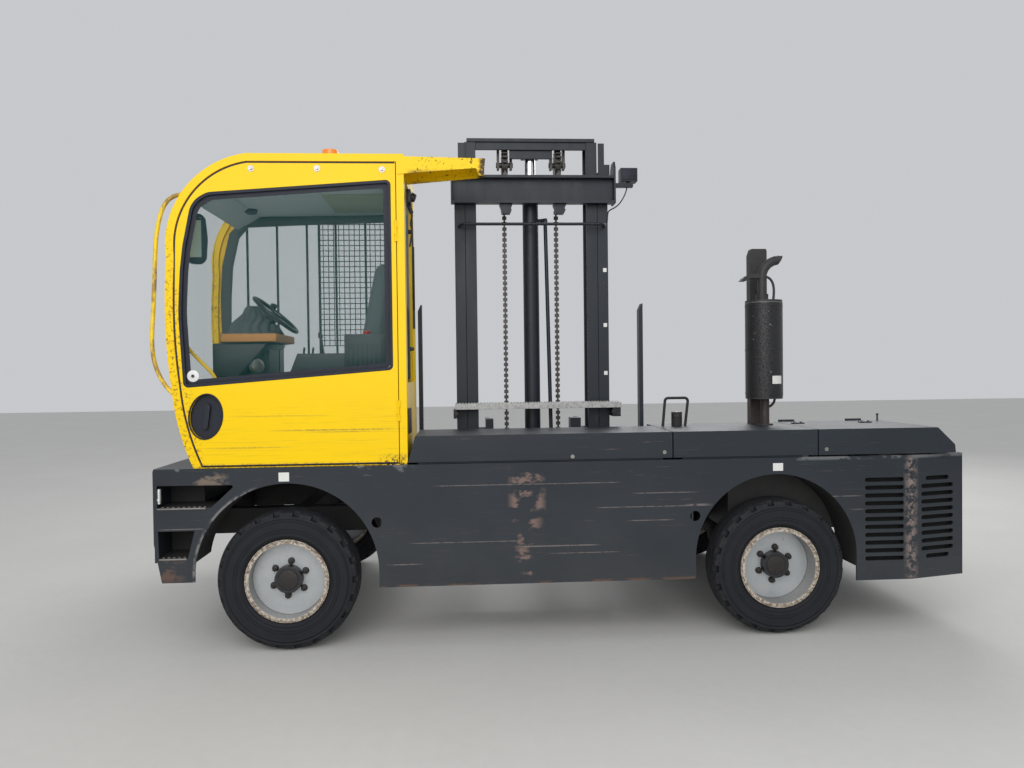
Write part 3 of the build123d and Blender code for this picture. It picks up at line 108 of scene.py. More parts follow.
def add_node(tree, kind, settings, *values, output=0, sockets=None, **named):
    """One node of a material: its settings first, then the values or links of its sockets."""
    node = tree.nodes.new("ShaderNode" + kind)
    for key, value in settings.items():
        setattr(node, key, value)
    for key, value in [*enumerate(values), *(sockets or {}).items(), *named.items()]:
        socket = node.inputs[key if isinstance(key, int) else key.replace("_", " ")]
        if isinstance(value, Shade):
            tree.links.new(value.socket, socket)
        elif hasattr(value, "__len__") and len(value) == 3 and socket.type == "RGBA":
            socket.default_value = (*value, 1)
        else:
            socket.default_value = value
    return Shade(tree, node.outputs[output])


class Finish:
    """A material being made: where its pattern is read, and its surface shader."""

    def __init__(self, name, roughness=0.5, metallic=0.0, **constants):
        self.material = bpy.data.materials.new(name)
        self.material.use_nodes = True
        self.tree = self.material.node_tree
        self.surface = self.tree.nodes["Principled BSDF"]
        self.place = self.node("TexCoord", {}, output="Object")
        self.surface.inputs["Roughness"].default_value = roughness
        self.surface.inputs["Metallic"].default_value = metallic
        for key, value in constants.items():
            self.surface.inputs[key.replace("_", " ")].default_value = value

    def node(self, kind, settings, *values, **named):
        return add_node(self.tree, kind, settings, *values, **named)

    def stretched(self, x, y, z):
        """Places scaled along each axis, for streaks and grain."""
        return self.node("Mapping", {}, Vector=self.place, Scale=(x, y, z))

    def noise(self, scale, detail=4.0, roughness=0.55, place=None):
        place = place or self.place
        return self.node("TexNoise", {}, Vector=place, Scale=scale, Detail=detail, Roughness=roughness)

    def axis(self, letter, place=None):
        """One coordinate of the object's own places, or of another vector."""
        return self.node("SeparateXYZ", {}, place or self.place, output="XYZ".index(letter))

    def within(self, letter, low, high, soft=0.01):
        """A mask that is 1 between two limits along an axis."""
        along = self.axis(letter)
        return along.above(low, soft) * along.below(high, soft)

    def mix(self, mask, first, second):
        """One colour over another, as much as the mask says."""
        return self.node("Mix", {"data_type": "RGBA"}, sockets={0: mask, 6: first, 7: second}, output=2)

    def link(self, socket, shade):
        self.tree.links.new(shade.socket, self.surface.inputs[socket])

    def colour(self, shade):
        self.link("Base Color", shade)

    def bump(self, height, depth):
        self.link("Normal", self.node("Bump", {}, Height=height, Distance=depth))

    def mottled(self, first, second, scale, **pattern):
        """Colour the surface between two colours by a noise, and hand the noise back."""
        grain = self.noise(scale, **pattern)
        self.colour(self.mix(grain, first, second))
        return grain


floor_reach = 30
bpy.ops.mesh.primitive_plane_add(size=2 * floor_reach, location=(0, 0, 0))
floor = bpy.context.object
floor.name = "floor"
floor_finish = Finish("floor_concrete", roughness=0.9)
floor_grain = floor_finish.noise(0.9, detail=8) * 0.6 + floor_finish.noise(14, detail=6) * 0.4
floor_finish.colour(floor_finish.mix(floor_grain, (0.50, 0.49, 0.47), (0.62, 0.61, 0.59)))
floor.data.materials.append(floor_finish.material)

world = bpy.data.worlds.new("world")
scene.world = world
world.use_nodes = True
sky = world.node_tree
seen = add_node(sky, "LightPath", {}, output="Is Camera Ray")
glossy = add_node(sky, "LightPath", {}, output="Is Glossy Ray")
through = add_node(sky, "LightPath", {}, output="Is Transmission Ray")
sky_background = sky.nodes["Background"]
sky_background.inputs["Color"].default_value = (0.86, 0.88, 0.91, 1)
sky_level = 0.74
backdrop_level = 0.66
glossy_share = 0.4
shown = (seen + glossy * glossy_share + through).clamp()
sky.links.new((shown * (backdrop_level - sky_level) + sky_level).socket, sky_background.inputs["Strength"])

lamp_target = Vector((0, 0, 1))
for lamp_name, lamp_place, lamp_size, lamp_power in (
    ("key_lamp", (-1.5, -8.0, 5.0), 7.0, 420),
    ("rear_lamp", (3.5, 6.0, 6.5), 6.0, 300),
):
    lamp_data = bpy.data.lights.new(lamp_name, "AREA")
    lamp_data.size = lamp_size
    lamp_data.energy = lamp_power
    lamp = bpy.data.objects.new(lamp_name, lamp_data)
    scene.collection.objects.link(lamp)
    lamp.location = lamp_place
    lamp.rotation_euler = (lamp_target - Vector(lamp_place)).to_track_quat("-Z", "Y").to_euler()


# Chassis panels. Thick flame-cut steel plate in dark anthracite paint, scratched along the
# travel direction, with primer scraped bare at the mast well and down the rear corner.
smooth_below = 40


def rounded(piece, edge_width, segments, angle):
    """Round those edges of the active piece that turn by more than an angle in degrees."""
    rounding = piece.modifiers.new("rounding", "BEVEL")
    rounding.width = edge_width
    rounding.segments = segments
    rounding.limit_method = "ANGLE"
    rounding.angle_limit = math.radians(angle)
    bpy.ops.object.modifier_apply(modifier="rounding")


def eased(node, edge_width, segments=2):
    """A copy of a CAD node with its triangles merged back into flats and its edges rounded."""
    source = nodes[node]
    piece = bpy.data.objects.new(node + "_shape", source.data.copy())
    piece.data.materials.clear()
    scene.collection.objects.link(piece)
    bpy.ops.object.select_all(action="DESELECT")
    piece.select_set(True)
    bpy.context.view_layer.objects.active = piece
    bpy.ops.object.mode_set(mode="EDIT")
    bpy.ops.mesh.select_all(action="SELECT")
    bpy.ops.mesh.remove_doubles(threshold=0.00001)
    bpy.ops.mesh.dissolve_limited(angle_limit=math.radians(1))
    bpy.ops.object.mode_set(mode="OBJECT")
    if edge_width:
        rounded(piece, edge_width, segments, 25)
    bpy.ops.object.shade_smooth_by_angle(angle=math.radians(smooth_below))
    flats = piece.modifiers.new("flats", "WEIGHTED_NORMAL")
    flats.keep_sharp = True
    bpy.ops.object.modifier_apply(modifier="flats")
    piece.select_set(False)
    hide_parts(node)
    return piece


def finished(piece, body, finish):
    """Give a piece its material and slot, and let it ride on its body."""
    piece.data.materials.clear()
    piece.data.materials.append(finish.material)
    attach(piece, body)


anthracite = (0.013, 0.018, 0.024)
primer = (0.18, 0.120, 0.105)
dust = (0.070, 0.070, 0.070)
# The pale scratch colour also paints the highlight along the panels' top edge.
pale_scratch_and_highlight = (0.13, 0.135, 0.14)
chassis_paint = Finish("chassis_paint", roughness=0.42, Specular_IOR_Level=0.35)
patches = chassis_paint.noise(2.2, detail=6)
mottle = chassis_paint.noise(26, detail=8, roughness=0.7)
along_travel = chassis_paint.stretched(0.9, 1, 46)
long_streaks = chassis_paint.noise(3.0, detail=8, roughness=0.7, place=along_travel)
fine_streaks = chassis_paint.noise(9.0, detail=6, roughness=0.7, place=chassis_paint.stretched(0.35, 1, 60))
wear_and_highlight_noise = chassis_paint.noise(7.0, detail=9, roughness=0.62, place=chassis_paint.stretched(1.0, 1, 1.8))
scratches = long_streaks.above(0.655, 0.012) * patches.above(0.50, 0.10)
hairlines = fine_streaks.above(0.66, 0.02) * 0.5
paint_colour = chassis_paint.mix(patches, anthracite, (0.022, 0.029, 0.038))
low_dust = chassis_paint.axis("Z").below(0.72, 0.35) * patches * 0.55
paint_colour = chassis_paint.mix(low_dust, paint_colour, dust)
paint_colour = chassis_paint.mix(hairlines, paint_colour, pale_scratch_and_highlight)
paint_colour = chassis_paint.mix(scratches, paint_colour, primer)

# Worn places on the panels, and a pale painted highlight along their top edge. Each row: limits along X and
# Z, their softness, the share of the rubbed pattern that is bare there, and what shows through the paint; in
# the two top-edge rows these last two say where and in what colour the painted highlight lies.
rust_brown = (0.11, 0.068, 0.050)
cab_side_face = chassis_paint.axis("Y").below(-0.97, 0.02)
worn_and_highlit_patches = []
for x_low, x_high, z_low, z_high, soft, patch_above, patch_colour in (
    (-0.385, -0.190, 0.80, 1.060, 0.02, 0.535, primer),
    (-0.360, -0.215, 0.38, 0.800, 0.03, 0.560, primer),
    (2.038, 2.094, 0.33, 1.075, 0.024, 0.500, (0.24, 0.185, 0.165)),
    (-2.420, -2.290, 0.43, 0.560, 0.03, 0.520, rust_brown),
    (-2.205, -2.030, 0.98, 1.055, 0.02, 0.520, (0.17, 0.13, 0.10)),
    (-1.250, -0.850, 1.03, 1.075, 0.01, 0.620, pale_scratch_and_highlight),
    # The next two rows paint a broken pale highlight along the panels' top edge, where light falls on it.
    (1.350, 2.445, 1.066, 1.090, 0.006, 0.470, pale_scratch_and_highlight),
    (-2.440, -0.987, 1.068, 1.090, 0.006, 0.610, pale_scratch_and_highlight),
    (-1.150, 0.720, 0.36, 0.378, 0.005, 0.500, rust_brown),
):
    zone = chassis_paint.within("X", x_low, x_high, soft) * chassis_paint.within("Z", z_low, z_high, soft)
    pattern = wear_and_highlight_noise if x_high - x_low > 0.06 else mottle
    patch_mask = (zone * cab_side_face * pattern.above(patch_above, 0.035)).clamp()
    worn_and_highlit_patches.append(patch_mask)
    paint_colour = chassis_paint.mix(patch_mask, paint_colour, patch_colour)

# Loads that slide on and off rub the two load decks, which lie along the load side.
deck_wear = chassis_paint.within("Z", 1.070, 1.100, 0.004) * chassis_paint.axis("Y").above(-0.35, 0.03)
deck_wear = (deck_wear * wear_and_highlight_noise.above(0.60, 0.035)).clamp()
worn_and_highlit_patches.append(deck_wear)
paint_colour = chassis_paint.mix(deck_wear * 0.6, paint_colour, pale_scratch_and_highlight)

# Long single scratches. Each row: start and end along X, height, and half the width.
scraped_paint = (0.20, 0.165, 0.155)
for x_low, x_high, height, half_width in (
    (0.365, 0.716, 0.887, 0.0022), (0.147, 0.807, 0.806, 0.0022), (0.679, 0.801, 0.812, 0.0035),
    (0.333, 0.575, 0.724, 0.0025), (-1.098, -0.923, 0.497, 0.0028), (-0.823, 0.254, 0.955, 0.0020),
    (-0.960, -0.330, 0.620, 0.0022), (-0.140, 0.240, 0.540, 0.0020), (-2.400, -2.150, 0.735, 0.0022),
    (-0.350, 0.120, 0.585, 0.0035), (1.560, 1.740, 0.842, 0.0022), (1.700, 1.760, 0.760, 0.0020),
):
    line = chassis_paint.within("X", x_low, x_high, 0.03) * chassis_paint.within(
        "Z", height - half_width, height + half_width, 0.0015)
    worn_line = (line * cab_side_face * mottle.above(0.42, 0.08)).clamp()
    worn_and_highlit_patches.append(worn_line)
    paint_colour = chassis_paint.mix(worn_line * 0.8, paint_colour, scraped_paint)

# The lip of the front wheel opening is scraped bright by boots on the steps.
arch_x, arch_z, lip_radius = -1.689, 0.460, 0.541
from_arch_x = chassis_paint.axis("X") - arch_x
from_arch_z = chassis_paint.axis("Z") - arch_z
arch_distance = (from_arch_x * from_arch_x + from_arch_z * from_arch_z).maths("SQRT")
beside_steps = chassis_paint.axis("X").below(-1.90, 0.05) * chassis_paint.axis("Y").below(-1.07)
lip = (arch_distance.below(lip_radius, 0.004) * beside_steps * mottle.above(0.47, 0.06)).clamp()
paint_colour = chassis_paint.mix(lip, paint_colour, (0.20, 0.195, 0.19))
chassis_paint.colour(paint_colour)
worn_and_highlit_total = scratches
for patch_mask in worn_and_highlit_patches:
    worn_and_highlit_total = worn_and_highlit_total + patch_mask
worn_and_highlit_total = worn_and_highlit_total.clamp()
chassis_paint.link("Roughness", 0.34 + patches * 0.2 + worn_and_highlit_total * 0.25)
chassis_paint.bump(chassis_paint.noise(60, detail=2) * 0.4 - worn_and_highlit_total - hairlines * 0.5, 0.0007)

panel_edge, beam_edge, hood_edge = 0.0025, 0.002, 0.012
for chassis_node, edge_width in (
    ("cab_side_panel", panel_edge), ("corner_grille", panel_edge), ("load_side_panels", panel_edge),
    ("end_panels", panel_edge), ("spine_beam", beam_edge), ("reach_rails", beam_edge),
    ("load_decks", beam_edge), ("fixed_hoods", hood_edge),
):
    finished(eased(chassis_node, edge_width), "chassis", chassis_paint)
finished(eased("rear_hood", hood_edge), "engine_lid", chassis_paint)

# Underbody. The main frame, axles, knuckles, arch sheets and the steps' boxes are welded or
# cast steel in black primer under road dirt.
underbody_paint = Finish("underbody_paint", roughness=0.75)
road_dirt = underbody_paint.noise(5, detail=8, roughness=0.65)
underbody_paint.colour(underbody_paint.mix(road_dirt, (0.010, 0.010, 0.011), (0.034, 0.031, 0.028)))
underbody_paint.bump(underbody_paint.noise(45, detail=6), 0.0012)
casting_edge = 0.004
for under_node, edge_width in (
    ("arch_liners", 0.0), ("chassis_frame", beam_edge), ("axles", casting_edge), ("cab_steps", 0.001),
):
    finished(eased(under_node, edge_width), "chassis", underbody_paint)
for hand in ("left", "right"):
    knuckle = eased("knuckle_front_" + hand, casting_edge)
    finished(knuckle, "knuckle_" + hand, underbody_paint)


# Shade behind the vents. Black sheets about four centimetres inside the slots are painted shade: they
# stand for the dark behind the slots and make the slots read dark.
def slab(x, y, z):
    """A square block between two limits along each axis."""
    bpy.ops.object.select_all(action="DESELECT")
    limits = (x, y, z)
    bpy.ops.mesh.primitive_cube_add(
        size=1,
        location=[(low + high) / 2 for low, high in limits],
        scale=[high - low for low, high in limits],
    )
    bpy.ops.object.transform_apply(location=True, rotation=True, scale=True)
    return bpy.context.object


def drum(start, end, radius, sides=24, end_radius=None):
    """A round or hexagonal bar, or a cone, between two points."""
    start, end = Vector(start), Vector(end)
    run = end - start
    bpy.ops.object.select_all(action="DESELECT")
    bpy.ops.mesh.primitive_cone_add(
        vertices=sides,
        radius1=radius,
        radius2=radius if end_radius is None else end_radius,
        depth=run.length,
        location=(start + end) / 2,
        rotation=run.to_track_quat("Z", "Y").to_euler(),
    )
    return bpy.context.object


def tube(points, radius, closed=False, smooth=True, flat=1.0, sides=8):
    """A bent rod or strip along a path, as a mesh."""
    path = bpy.data.curves.new("path", "CURVE")
    path.dimensions = "3D"
    path.bevel_depth = radius
    path.bevel_resolution = max(1, sides // 4)
    path.use_fill_caps = not closed
    run = path.splines.new("NURBS" if smooth else "POLY")
    run.points.add(len(points) - 1)
    for point, place in zip(run.points, points):
        point.co = (*place, 1)
    if smooth:
        run.order_u = 3
        run.resolution_u = 8
        run.use_endpoint_u = not closed
    run.use_cyclic_u = closed
    piece = bpy.data.objects.new("path", path)
    scene.collection.objects.link(piece)
    bpy.ops.object.select_all(action="DESELECT")
    piece.select_set(True)
    bpy.context.view_layer.objects.active = piece
    bpy.ops.object.convert(target="MESH")
    piece = bpy.context.object
    if flat != 1.0:
        middle = sum(point[1] for point in points) / len(points)
        for vertex in piece.data.vertices:
            vertex.co.y = middle + (vertex.co.y - middle) * flat
    return piece


def assembled(name, parts, edge_width=0.0, segments=2):
    """Join parts into one named piece at the origin, with rounded edges."""
    bpy.ops.object.select_all(action="DESELECT")
    for part in parts:
        part.select_set(True)
    bpy.context.view_layer.objects.active = parts[0]
    bpy.ops.object.transform_apply(location=True, rotation=True, scale=True)
    if len(parts) > 1:
        bpy.ops.object.join()
    piece = bpy.context.object
    piece.name = name
    if edge_width:
        rounded(piece, edge_width, segments, 30)
    bpy.ops.object.shade_smooth_by_angle(angle=math.radians(smooth_below))
    piece.select_set(False)
    return piece


def bolts(name, places, facing, across, height=0.008, washer=1.5):
    """Hexagon heads on washers, all facing the same way, as one piece."""
    facing = Vector(facing)
    parts = []
    for place in places:
        foot = Vector(place)
        parts.append(drum(foot, foot + facing * 0.002, across * washer / 2, 16))
        parts.append(drum(foot + facing * 0.002, foot + facing * height, across / 2, 6))
    return assembled(name, parts, 0.0006, 1)


# Near-black sheets behind the vent slots, as painted shade.
vent_shade_black = Finish("vent_shade_black", roughness=1.0)
vent_shade_black.mottled((0.004, 0.004, 0.004), (0.012, 0.012, 0.013), 120)
side_shade_sheet = slab((1.745, 2.050), (-1.062, -1.056), (0.41, 0.97))
corner_start = 2.085
corner_lean = 0.088 / 0.375
corner_shade_sheet = slab((corner_start, 2.428), (-1.058, -1.052), (0.345, 0.985))
for vertex in corner_shade_sheet.data.vertices:
    vertex.co.y += (vertex.co.x - corner_start) * corner_lean
vent_shade_sheets = assembled("vent_shade_sheets", [side_shade_sheet, corner_shade_sheet], 0.001)
finished(vent_shade_sheets, "chassis", vent_shade_black)

# Steps and lamps. Folded tread lips with raised studs along the foot of each cut-out are polished by boots,
# and their pale steel is also a painted highlight where light falls on the tread edges. A small white marker
# lamp stands in the upper one, and the headlamps match it.
worn_and_highlit_steel = Finish("worn_and_highlit_steel", roughness=0.45, metallic=0.7)
steel_wear_and_highlight = worn_and_highlit_steel.mottled((0.10, 0.09, 0.085), (0.40, 0.38, 0.36), 20, detail=8)
worn_and_highlit_steel.link("Roughness", 0.35 + steel_wear_and_highlight * 0.3)
worn_and_highlit_steel.bump(worn_and_highlit_steel.noise(90, detail=4), 0.0004)
side_face = -1.100
stud_y, first_stud, stud_pitch, stud_height = -1.075, -2.40, 0.03, 0.004
tread_lips = []
for lip_front, lip_rear, lip_top, studs in ((-2.423, -2.150, 0.858, 9), (-2.417, -2.262, 0.566, 5)):
    tread_lips.append(slab((lip_front, lip_rear), (side_face - 0.0035, -1.088), (lip_top - 0.009, lip_top)))
    for stud in range(studs):
        foot = (first_stud + stud_pitch * stud, stud_y, lip_top)
        head = (first_stud + stud_pitch * stud, stud_y, lip_top + stud_height)
        tread_lips.append(drum(foot, head, 0.009, 10, 0.006))
finished(assembled("step_lips", tread_lips, 0.0015), "chassis", worn_and_highlit_steel)

lamp_plastic = Finish("lamp_plastic", roughness=0.2, Coat_Weight=0.5)
lamp_plastic.mottled((0.70, 0.70, 0.68), (0.85, 0.85, 0.82), 30)
marker_lamp = assembled("marker_lamp", [
    slab((-2.424, -2.412), (-1.088, -1.062), (0.880, 0.968)),
    drum((-2.418, -1.088, 0.905), (-2.418, -1.094, 0.905), 0.009, 16),
], 0.004)
finished(marker_lamp, "chassis", lamp_plastic)
finished(eased("headlamps", 0.01, 3), "chassis", lamp_plastic)

# Blank labels. Two small rectangles of white vinyl, faded and bare, that are stuck to the
# side panel above the wheel openings.
label_vinyl = Finish("label_vinyl", roughness=0.4)
label_vinyl.mottled((0.62, 0.62, 0.58), (0.80, 0.80, 0.77), 90, detail=6)
label_depth = (side_face - 0.0008, side_face)
chassis_labels = assembled("chassis_labels", [
    slab((-1.732, -1.672), label_depth, (1.000, 1.052)),
    slab((1.202, 1.264), label_depth, (1.004, 1.050)),
])
finished(chassis_labels, "chassis", label_vinyl)

# Cab shell. Pressed and rolled steel sheet in bright yellow enamel, a little orange-peeled,
# dulled by weather, scratched along the door and chipped brown along the front hoop.
yellow = (0.95, 0.62, 0.0)
cab_paint = Finish("cab_paint", roughness=0.3, Specular_IOR_Level=0.22)
weather = cab_paint.noise(2.4, detail=8)
chips = cab_paint.noise(34, detail=6, roughness=0.7)
rubs = cab_paint.noise(5.0, detail=9, roughness=0.7, place=cab_paint.stretched(0.5, 1, 40))
grime = cab_paint.noise(60, detail=8, roughness=0.75)
cab_colour = cab_paint.mix(weather, yellow, (0.88, 0.57, 0.002))
door_face = cab_paint.axis("Y").below(-1.085, 0.003) * cab_paint.within("Z", 1.09, 1.48, 0.05)
cab_colour = cab_paint.mix(rubs.above(0.60, 0.03) * door_face * 0.35, cab_colour, (0.42, 0.30, 0.02))
for x_low, x_high, height, half_width in (
    (-1.70, -1.06, 1.295, 0.004), (-1.52, -1.18, 1.283, 0.003), (-2.12, -1.72, 1.198, 0.003),
    (-1.95, -1.55, 1.380, 0.002),
):
    line = cab_paint.within("X", x_low, x_high, 0.12) * cab_paint.within(
        "Z", height - half_width, height + half_width, 0.003)
    cab_colour = cab_paint.mix(line * grime.above(0.45, 0.12) * 0.8, cab_colour, (0.26, 0.19, 0.04))
front_hoop = (cab_paint.axis("X") + cab_paint.axis("Z") * 0.12).below(-2.035, 0.02)
front_hoop = front_hoop * cab_paint.axis("Z").below(2.62, 0.05)
worn_front = (front_hoop * grime.above(0.565, 0.04)).clamp()
cab_colour = cab_paint.mix(worn_front * 0.8, cab_colour, (0.20, 0.10, 0.02))
torn_corner = cab_paint.within("X", -1.135, -0.980, 0.03) * cab_paint.axis("Z").below(1.135, 0.02)
torn_corner = torn_corner * grime.above(0.50, 0.03)
foot_grime = cab_paint.axis("Z").below(1.104, 0.008) * grime.above(0.52, 0.05) * 0.7
arm_wear = cab_paint.axis("X").above(-0.93, 0.02) * grime.above(0.60, 0.03)
arm_end = cab_paint.axis("X").above(-0.545, 0.01) * grime.above(0.42, 0.05)
# The roof arm's lower lip, round its open channel, is painted dark for grease and as painted shade inside
# the channel.
arm_lip_grease_and_shade = cab_paint.axis("X").above(-0.96, 0.02) * cab_paint.within("Z", 2.70, 2.80, 0.012)
arm_lip_grease_and_shade = arm_lip_grease_and_shade * grime.above(0.40, 0.06) * 0.7
nicks_grime_and_shade = (chips.above(0.715, 0.012) + torn_corner + foot_grime + arm_wear + arm_end + arm_lip_grease_and_shade).clamp()
cab_colour = cab_paint.mix(nicks_grime_and_shade, cab_colour, (0.075, 0.050, 0.030))
cab_paint.colour(cab_colour)
cab_paint.link("Roughness", 0.24 + weather * 0.16 + nicks_grime_and_shade * 0.4)
cab_paint.bump(cab_paint.noise(180, detail=2) * 0.5 - nicks_grime_and_shade, 0.0005)
sheet_edge = 0.002
for cab_node, edge_width in (
    ("cab_frame", 0.008), ("cab_roof", sheet_edge), ("cab_nose", sheet_edge), ("cab_rear_wall", sheet_edge),
    ("cab_far_wall", sheet_edge), ("roof_arm", 0.0015),
):
    finished(eased(cab_node, edge_width), "chassis", cab_paint)
finished(eased("cab_door", 0.004), "door", cab_paint)

# Grab rail. A bent round tube outside the front hoop, whose yellow is rubbed through to
# brown where hands take it.
rail_paint = Finish("rail_paint", roughness=0.4, Coat_Weight=0.15)
rail_rub = rail_paint.noise(11, detail=8, roughness=0.7, place=rail_paint.stretched(1, 1, 0.35))
rail_paint.colour(rail_paint.mix(rail_rub.above(0.52, 0.05) * 0.85, (0.86, 0.60, 0.01), (0.23, 0.12, 0.045)))
rail_paint.link("Roughness", 0.3 + rail_rub * 0.3)
finished(eased("grab_rail", 0.0), "chassis", rail_paint)

# Door seal, pull and roof fixings. Black rubber round the glass, a moulded recess for the
# hand, and three bolts on wide washers that hold the door's upper rail.
rubber = Finish("seal_rubber", roughness=0.5, Specular_IOR_Level=0.25)
rubber.mottled((0.010, 0.012, 0.020), (0.026, 0.029, 0.042), 40)
finished(eased("door_trim", 0.003), "door", rubber)
bright_zinc = Finish("bright_zinc", roughness=0.3, metallic=0.85)
bright_zinc.mottled((0.20, 0.18, 0.15), (0.52, 0.51, 0.49), 160, detail=5)
door_skin = -1.088
proud_of_door = door_skin - 0.0005
door_fixings = bolts("door_fixings", [
    (-1.862, proud_of_door, 2.811), (-1.486, proud_of_door, 2.812), (-1.113, proud_of_door, 2.808),
], (0, -1, 0), 0.019, 0.010, 2.0)
finished(door_fixings, "door", bright_zinc)
pull_x, pull_z, pull_lean = -2.143, 1.382, math.radians(8)
pull_half_width, pull_half_height, pull_points = 0.095, 0.131, 48
pull_lip = []
for point in range(pull_points):
    turn = math.tau * point / pull_points
    along, across = pull_half_width * math.cos(turn), pull_half_height * math.sin(turn)
    pull_lip.append((
        pull_x + along * math.cos(pull_lean) + across * math.sin(pull_lean),
        proud_of_door,
        pull_z - along * math.sin(pull_lean) + across * math.cos(pull_lean),
    ))
finished(assembled("pull_lip", [tube(pull_lip, 0.0045, closed=True)]), "door", rubber)


# Door edge strip and window border. A flat black rubber strip runs round the edge of the
# door's skin, and a black band is fired onto the glass where the seal holds it.
def outline(node, face_y, inset):
    """The corners of a node's upright face, drawn in by an inset, from its lower right round."""
    near_face = 0.0006
    face = [
        Vector((vertex.co.x, vertex.co.z))
        for vertex in nodes[node].data.vertices
        if abs(vertex.co.y - face_y) < near_face
    ]
    corners = [face[index] for index in geometry.convex_hull_2d(face)]
    low = Vector((min(corner.x for corner in corners), min(corner.y for corner in corners)))
    high = Vector((max(corner.x for corner in corners), max(corner.y for corner in corners)))
    middle, half = (low + high) / 2, (high - low) / 2
    corners.sort(key=lambda corner: -math.atan2(corner.y - middle.y, corner.x - middle.x) % math.tau)
    drawn = []
    for corner in corners:
        away = corner - middle
        drawn.append((middle.x + away.x * (1 - inset / half.x), middle.y + away.y * (1 - inset / half.y)))
    return drawn


hinge_side, hinge_foot, hinge_head = -1.06, 1.12, 2.82
edge_path = []
for x, z in outline("cab_door", door_skin, 0.003):
    if x < hinge_side or not hinge_foot < z < hinge_head:
        edge_path.append((x, door_skin - 0.0002, z))
edge_strip = assembled("door_edge_strip", [tube(edge_path, 0.0042, smooth=False, flat=0.25)])
finished(edge_strip, "door", rubber)
glass_face = -1.073
border_path = [(x, glass_face - 0.0004, z) for x, z in outline("door_glass", glass_face, 0.013)]
border_band = tube(border_path, 0.014, closed=True, smooth=False, flat=0.03, sides=12)
finished(assembled("window_border", [border_band]), "door", rubber)

# Glazing. Flat toughened panes with a faint green cast. The rubber seal holds the door's
# pane, and the others are bonded to the frame.
glazing = Finish(
    "cab_glass", roughness=0.03, Alpha=0.11, Specular_IOR_Level=0.15, Base_Color=(0.02, 0.12, 0.12, 1))
glazing.material.surface_render_method = "BLENDED"
finished(eased("cab_glass", 0.0), "chassis", glazing)
finished(eased("door_glass", 0.0), "door", glazing)

# Window disc. A round moulded stop near the lower corner of the door's glass, white with a
# black button in its middle.
white_plastic = Finish("white_plastic", roughness=0.35)
white_plastic.mottled((0.66, 0.66, 0.64), (0.80, 0.80, 0.78), 50)
stop_x, stop_z = -2.214, 1.618
stop_foot, stop_face, button_face = (Vector((stop_x, y, stop_z)) for y in (-1.0735, -1.0765, -1.0825))
window_stop = assembled("window_stop", [drum(stop_face, stop_foot, 0.034, 32)], 0.001)
finished(window_stop, "door", white_plastic)
black_plastic = Finish("black_plastic", roughness=0.45)
black_plastic.mottled((0.010, 0.010, 0.011), (0.026, 0.026, 0.028), 25)
black_plastic.bump(black_plastic.noise(300, detail=2), 0.0002)
window_button = assembled("window_stop_button", [drum(button_face, stop_face, 0.009, 16, 0.007)])
finished(window_button, "door", black_plastic)

# Cab lining. A moulded grey headliner hangs under the roof sheet, with a round lamp and a
# pale roof panel, and a soft grey trim frames the load side window.
lining = Finish("cab_lining", roughness=0.85)
lining.bump(lining.mottled((0.40, 0.46, 0.48), (0.50, 0.57, 0.59), 240, detail=4), 0.0006)
grey_plastic = Finish("grey_plastic", roughness=0.6)
grey_plastic.mottled((0.045, 0.050, 0.054), (0.075, 0.080, 0.085), 25)
lining_width = (-1.02, -0.29)
front_dip, roll_rise = 0.015, 0.085
headliner = slab((-2.03, -1.03), lining_width, (2.705, 2.725))
for vertex in headliner.data.vertices:
    if vertex.co.x < -1.9:
        vertex.co.z -= front_dip
front_roll = slab((-2.17, -2.02), lining_width, (2.60, 2.62))
for vertex in front_roll.data.vertices:
    if vertex.co.x > -2.1:
        vertex.co.z += roll_rise
lamp_ring = drum((-2.035, -0.52, 2.668), (-2.035, -0.52, 2.70), 0.052, 32, 0.060)
finished(assembled("headliner", [headliner, front_roll], 0.006, 3), "chassis", lining)
finished(assembled("ceiling_lamp", [lamp_ring], 0.004, 2), "chassis", rubber)
roof_panel = assembled("roof_panel", [slab((-1.50, -1.10), (-0.93, -0.40), (2.698, 2.704))], 0.002)
panel_finish = Finish("roof_panel", roughness=0.4)
across_panel = panel_finish.stretched(0.3, 12, 1)
panel_finish.mottled((0.19, 0.23, 0.14), (0.34, 0.38, 0.24), 30, place=across_panel)
finished(roof_panel, "chassis", panel_finish)
trim_y = -0.268
trim_path = [(x, trim_y, z) for x, z in (
    (-2.262, 1.60), (-2.262, 2.14), (-2.248, 2.36), (-2.20, 2.565), (-2.12, 2.655),
    (-1.80, 2.672), (-1.045, 2.685), (-1.045, 1.60), (-1.60, 1.585),
)]
trim_band = tube(trim_path, 0.038, closed=True, smooth=False, flat=0.3, sides=12)
finished(assembled("window_trim", [trim_band]), "chassis", grey_plastic)

# Controls and floor. A steering wheel with a spinner knob, a wooden shelf on a black moulded
# console with a spot lamp, the far window's bars, a yellow grab tube and a black floor rod.
finished(eased("cab_floor", sheet_edge), "chassis", black_plastic)
finished(eased("window_guard", 0.0), "chassis", black_plastic)
finished(eased("dash", 0.01), "chassis", black_plastic)
finished(eased("steering_wheel", 0.0), "steering", black_plastic)
spinner_knob = drum((-1.818, -0.83, 2.012), (-1.800, -0.85, 2.044), 0.012, 16, 0.022)
spinner = assembled("steering_spinner", [spinner_knob], 0.004, 3)
finished(spinner, "steering", black_plastic)
shelf_wood = Finish("shelf_board", roughness=0.6)
along_board = shelf_wood.stretched(1, 6, 10)
shelf_wood.mottled((0.36, 0.15, 0.025), (0.56, 0.27, 0.06), 14, detail=8, place=along_board)
shelf = assembled("console_shelf", [slab((-2.12, -1.79), (-0.86, -0.35), (1.822, 1.872))], 0.006)
finished(shelf, "chassis", shelf_wood)
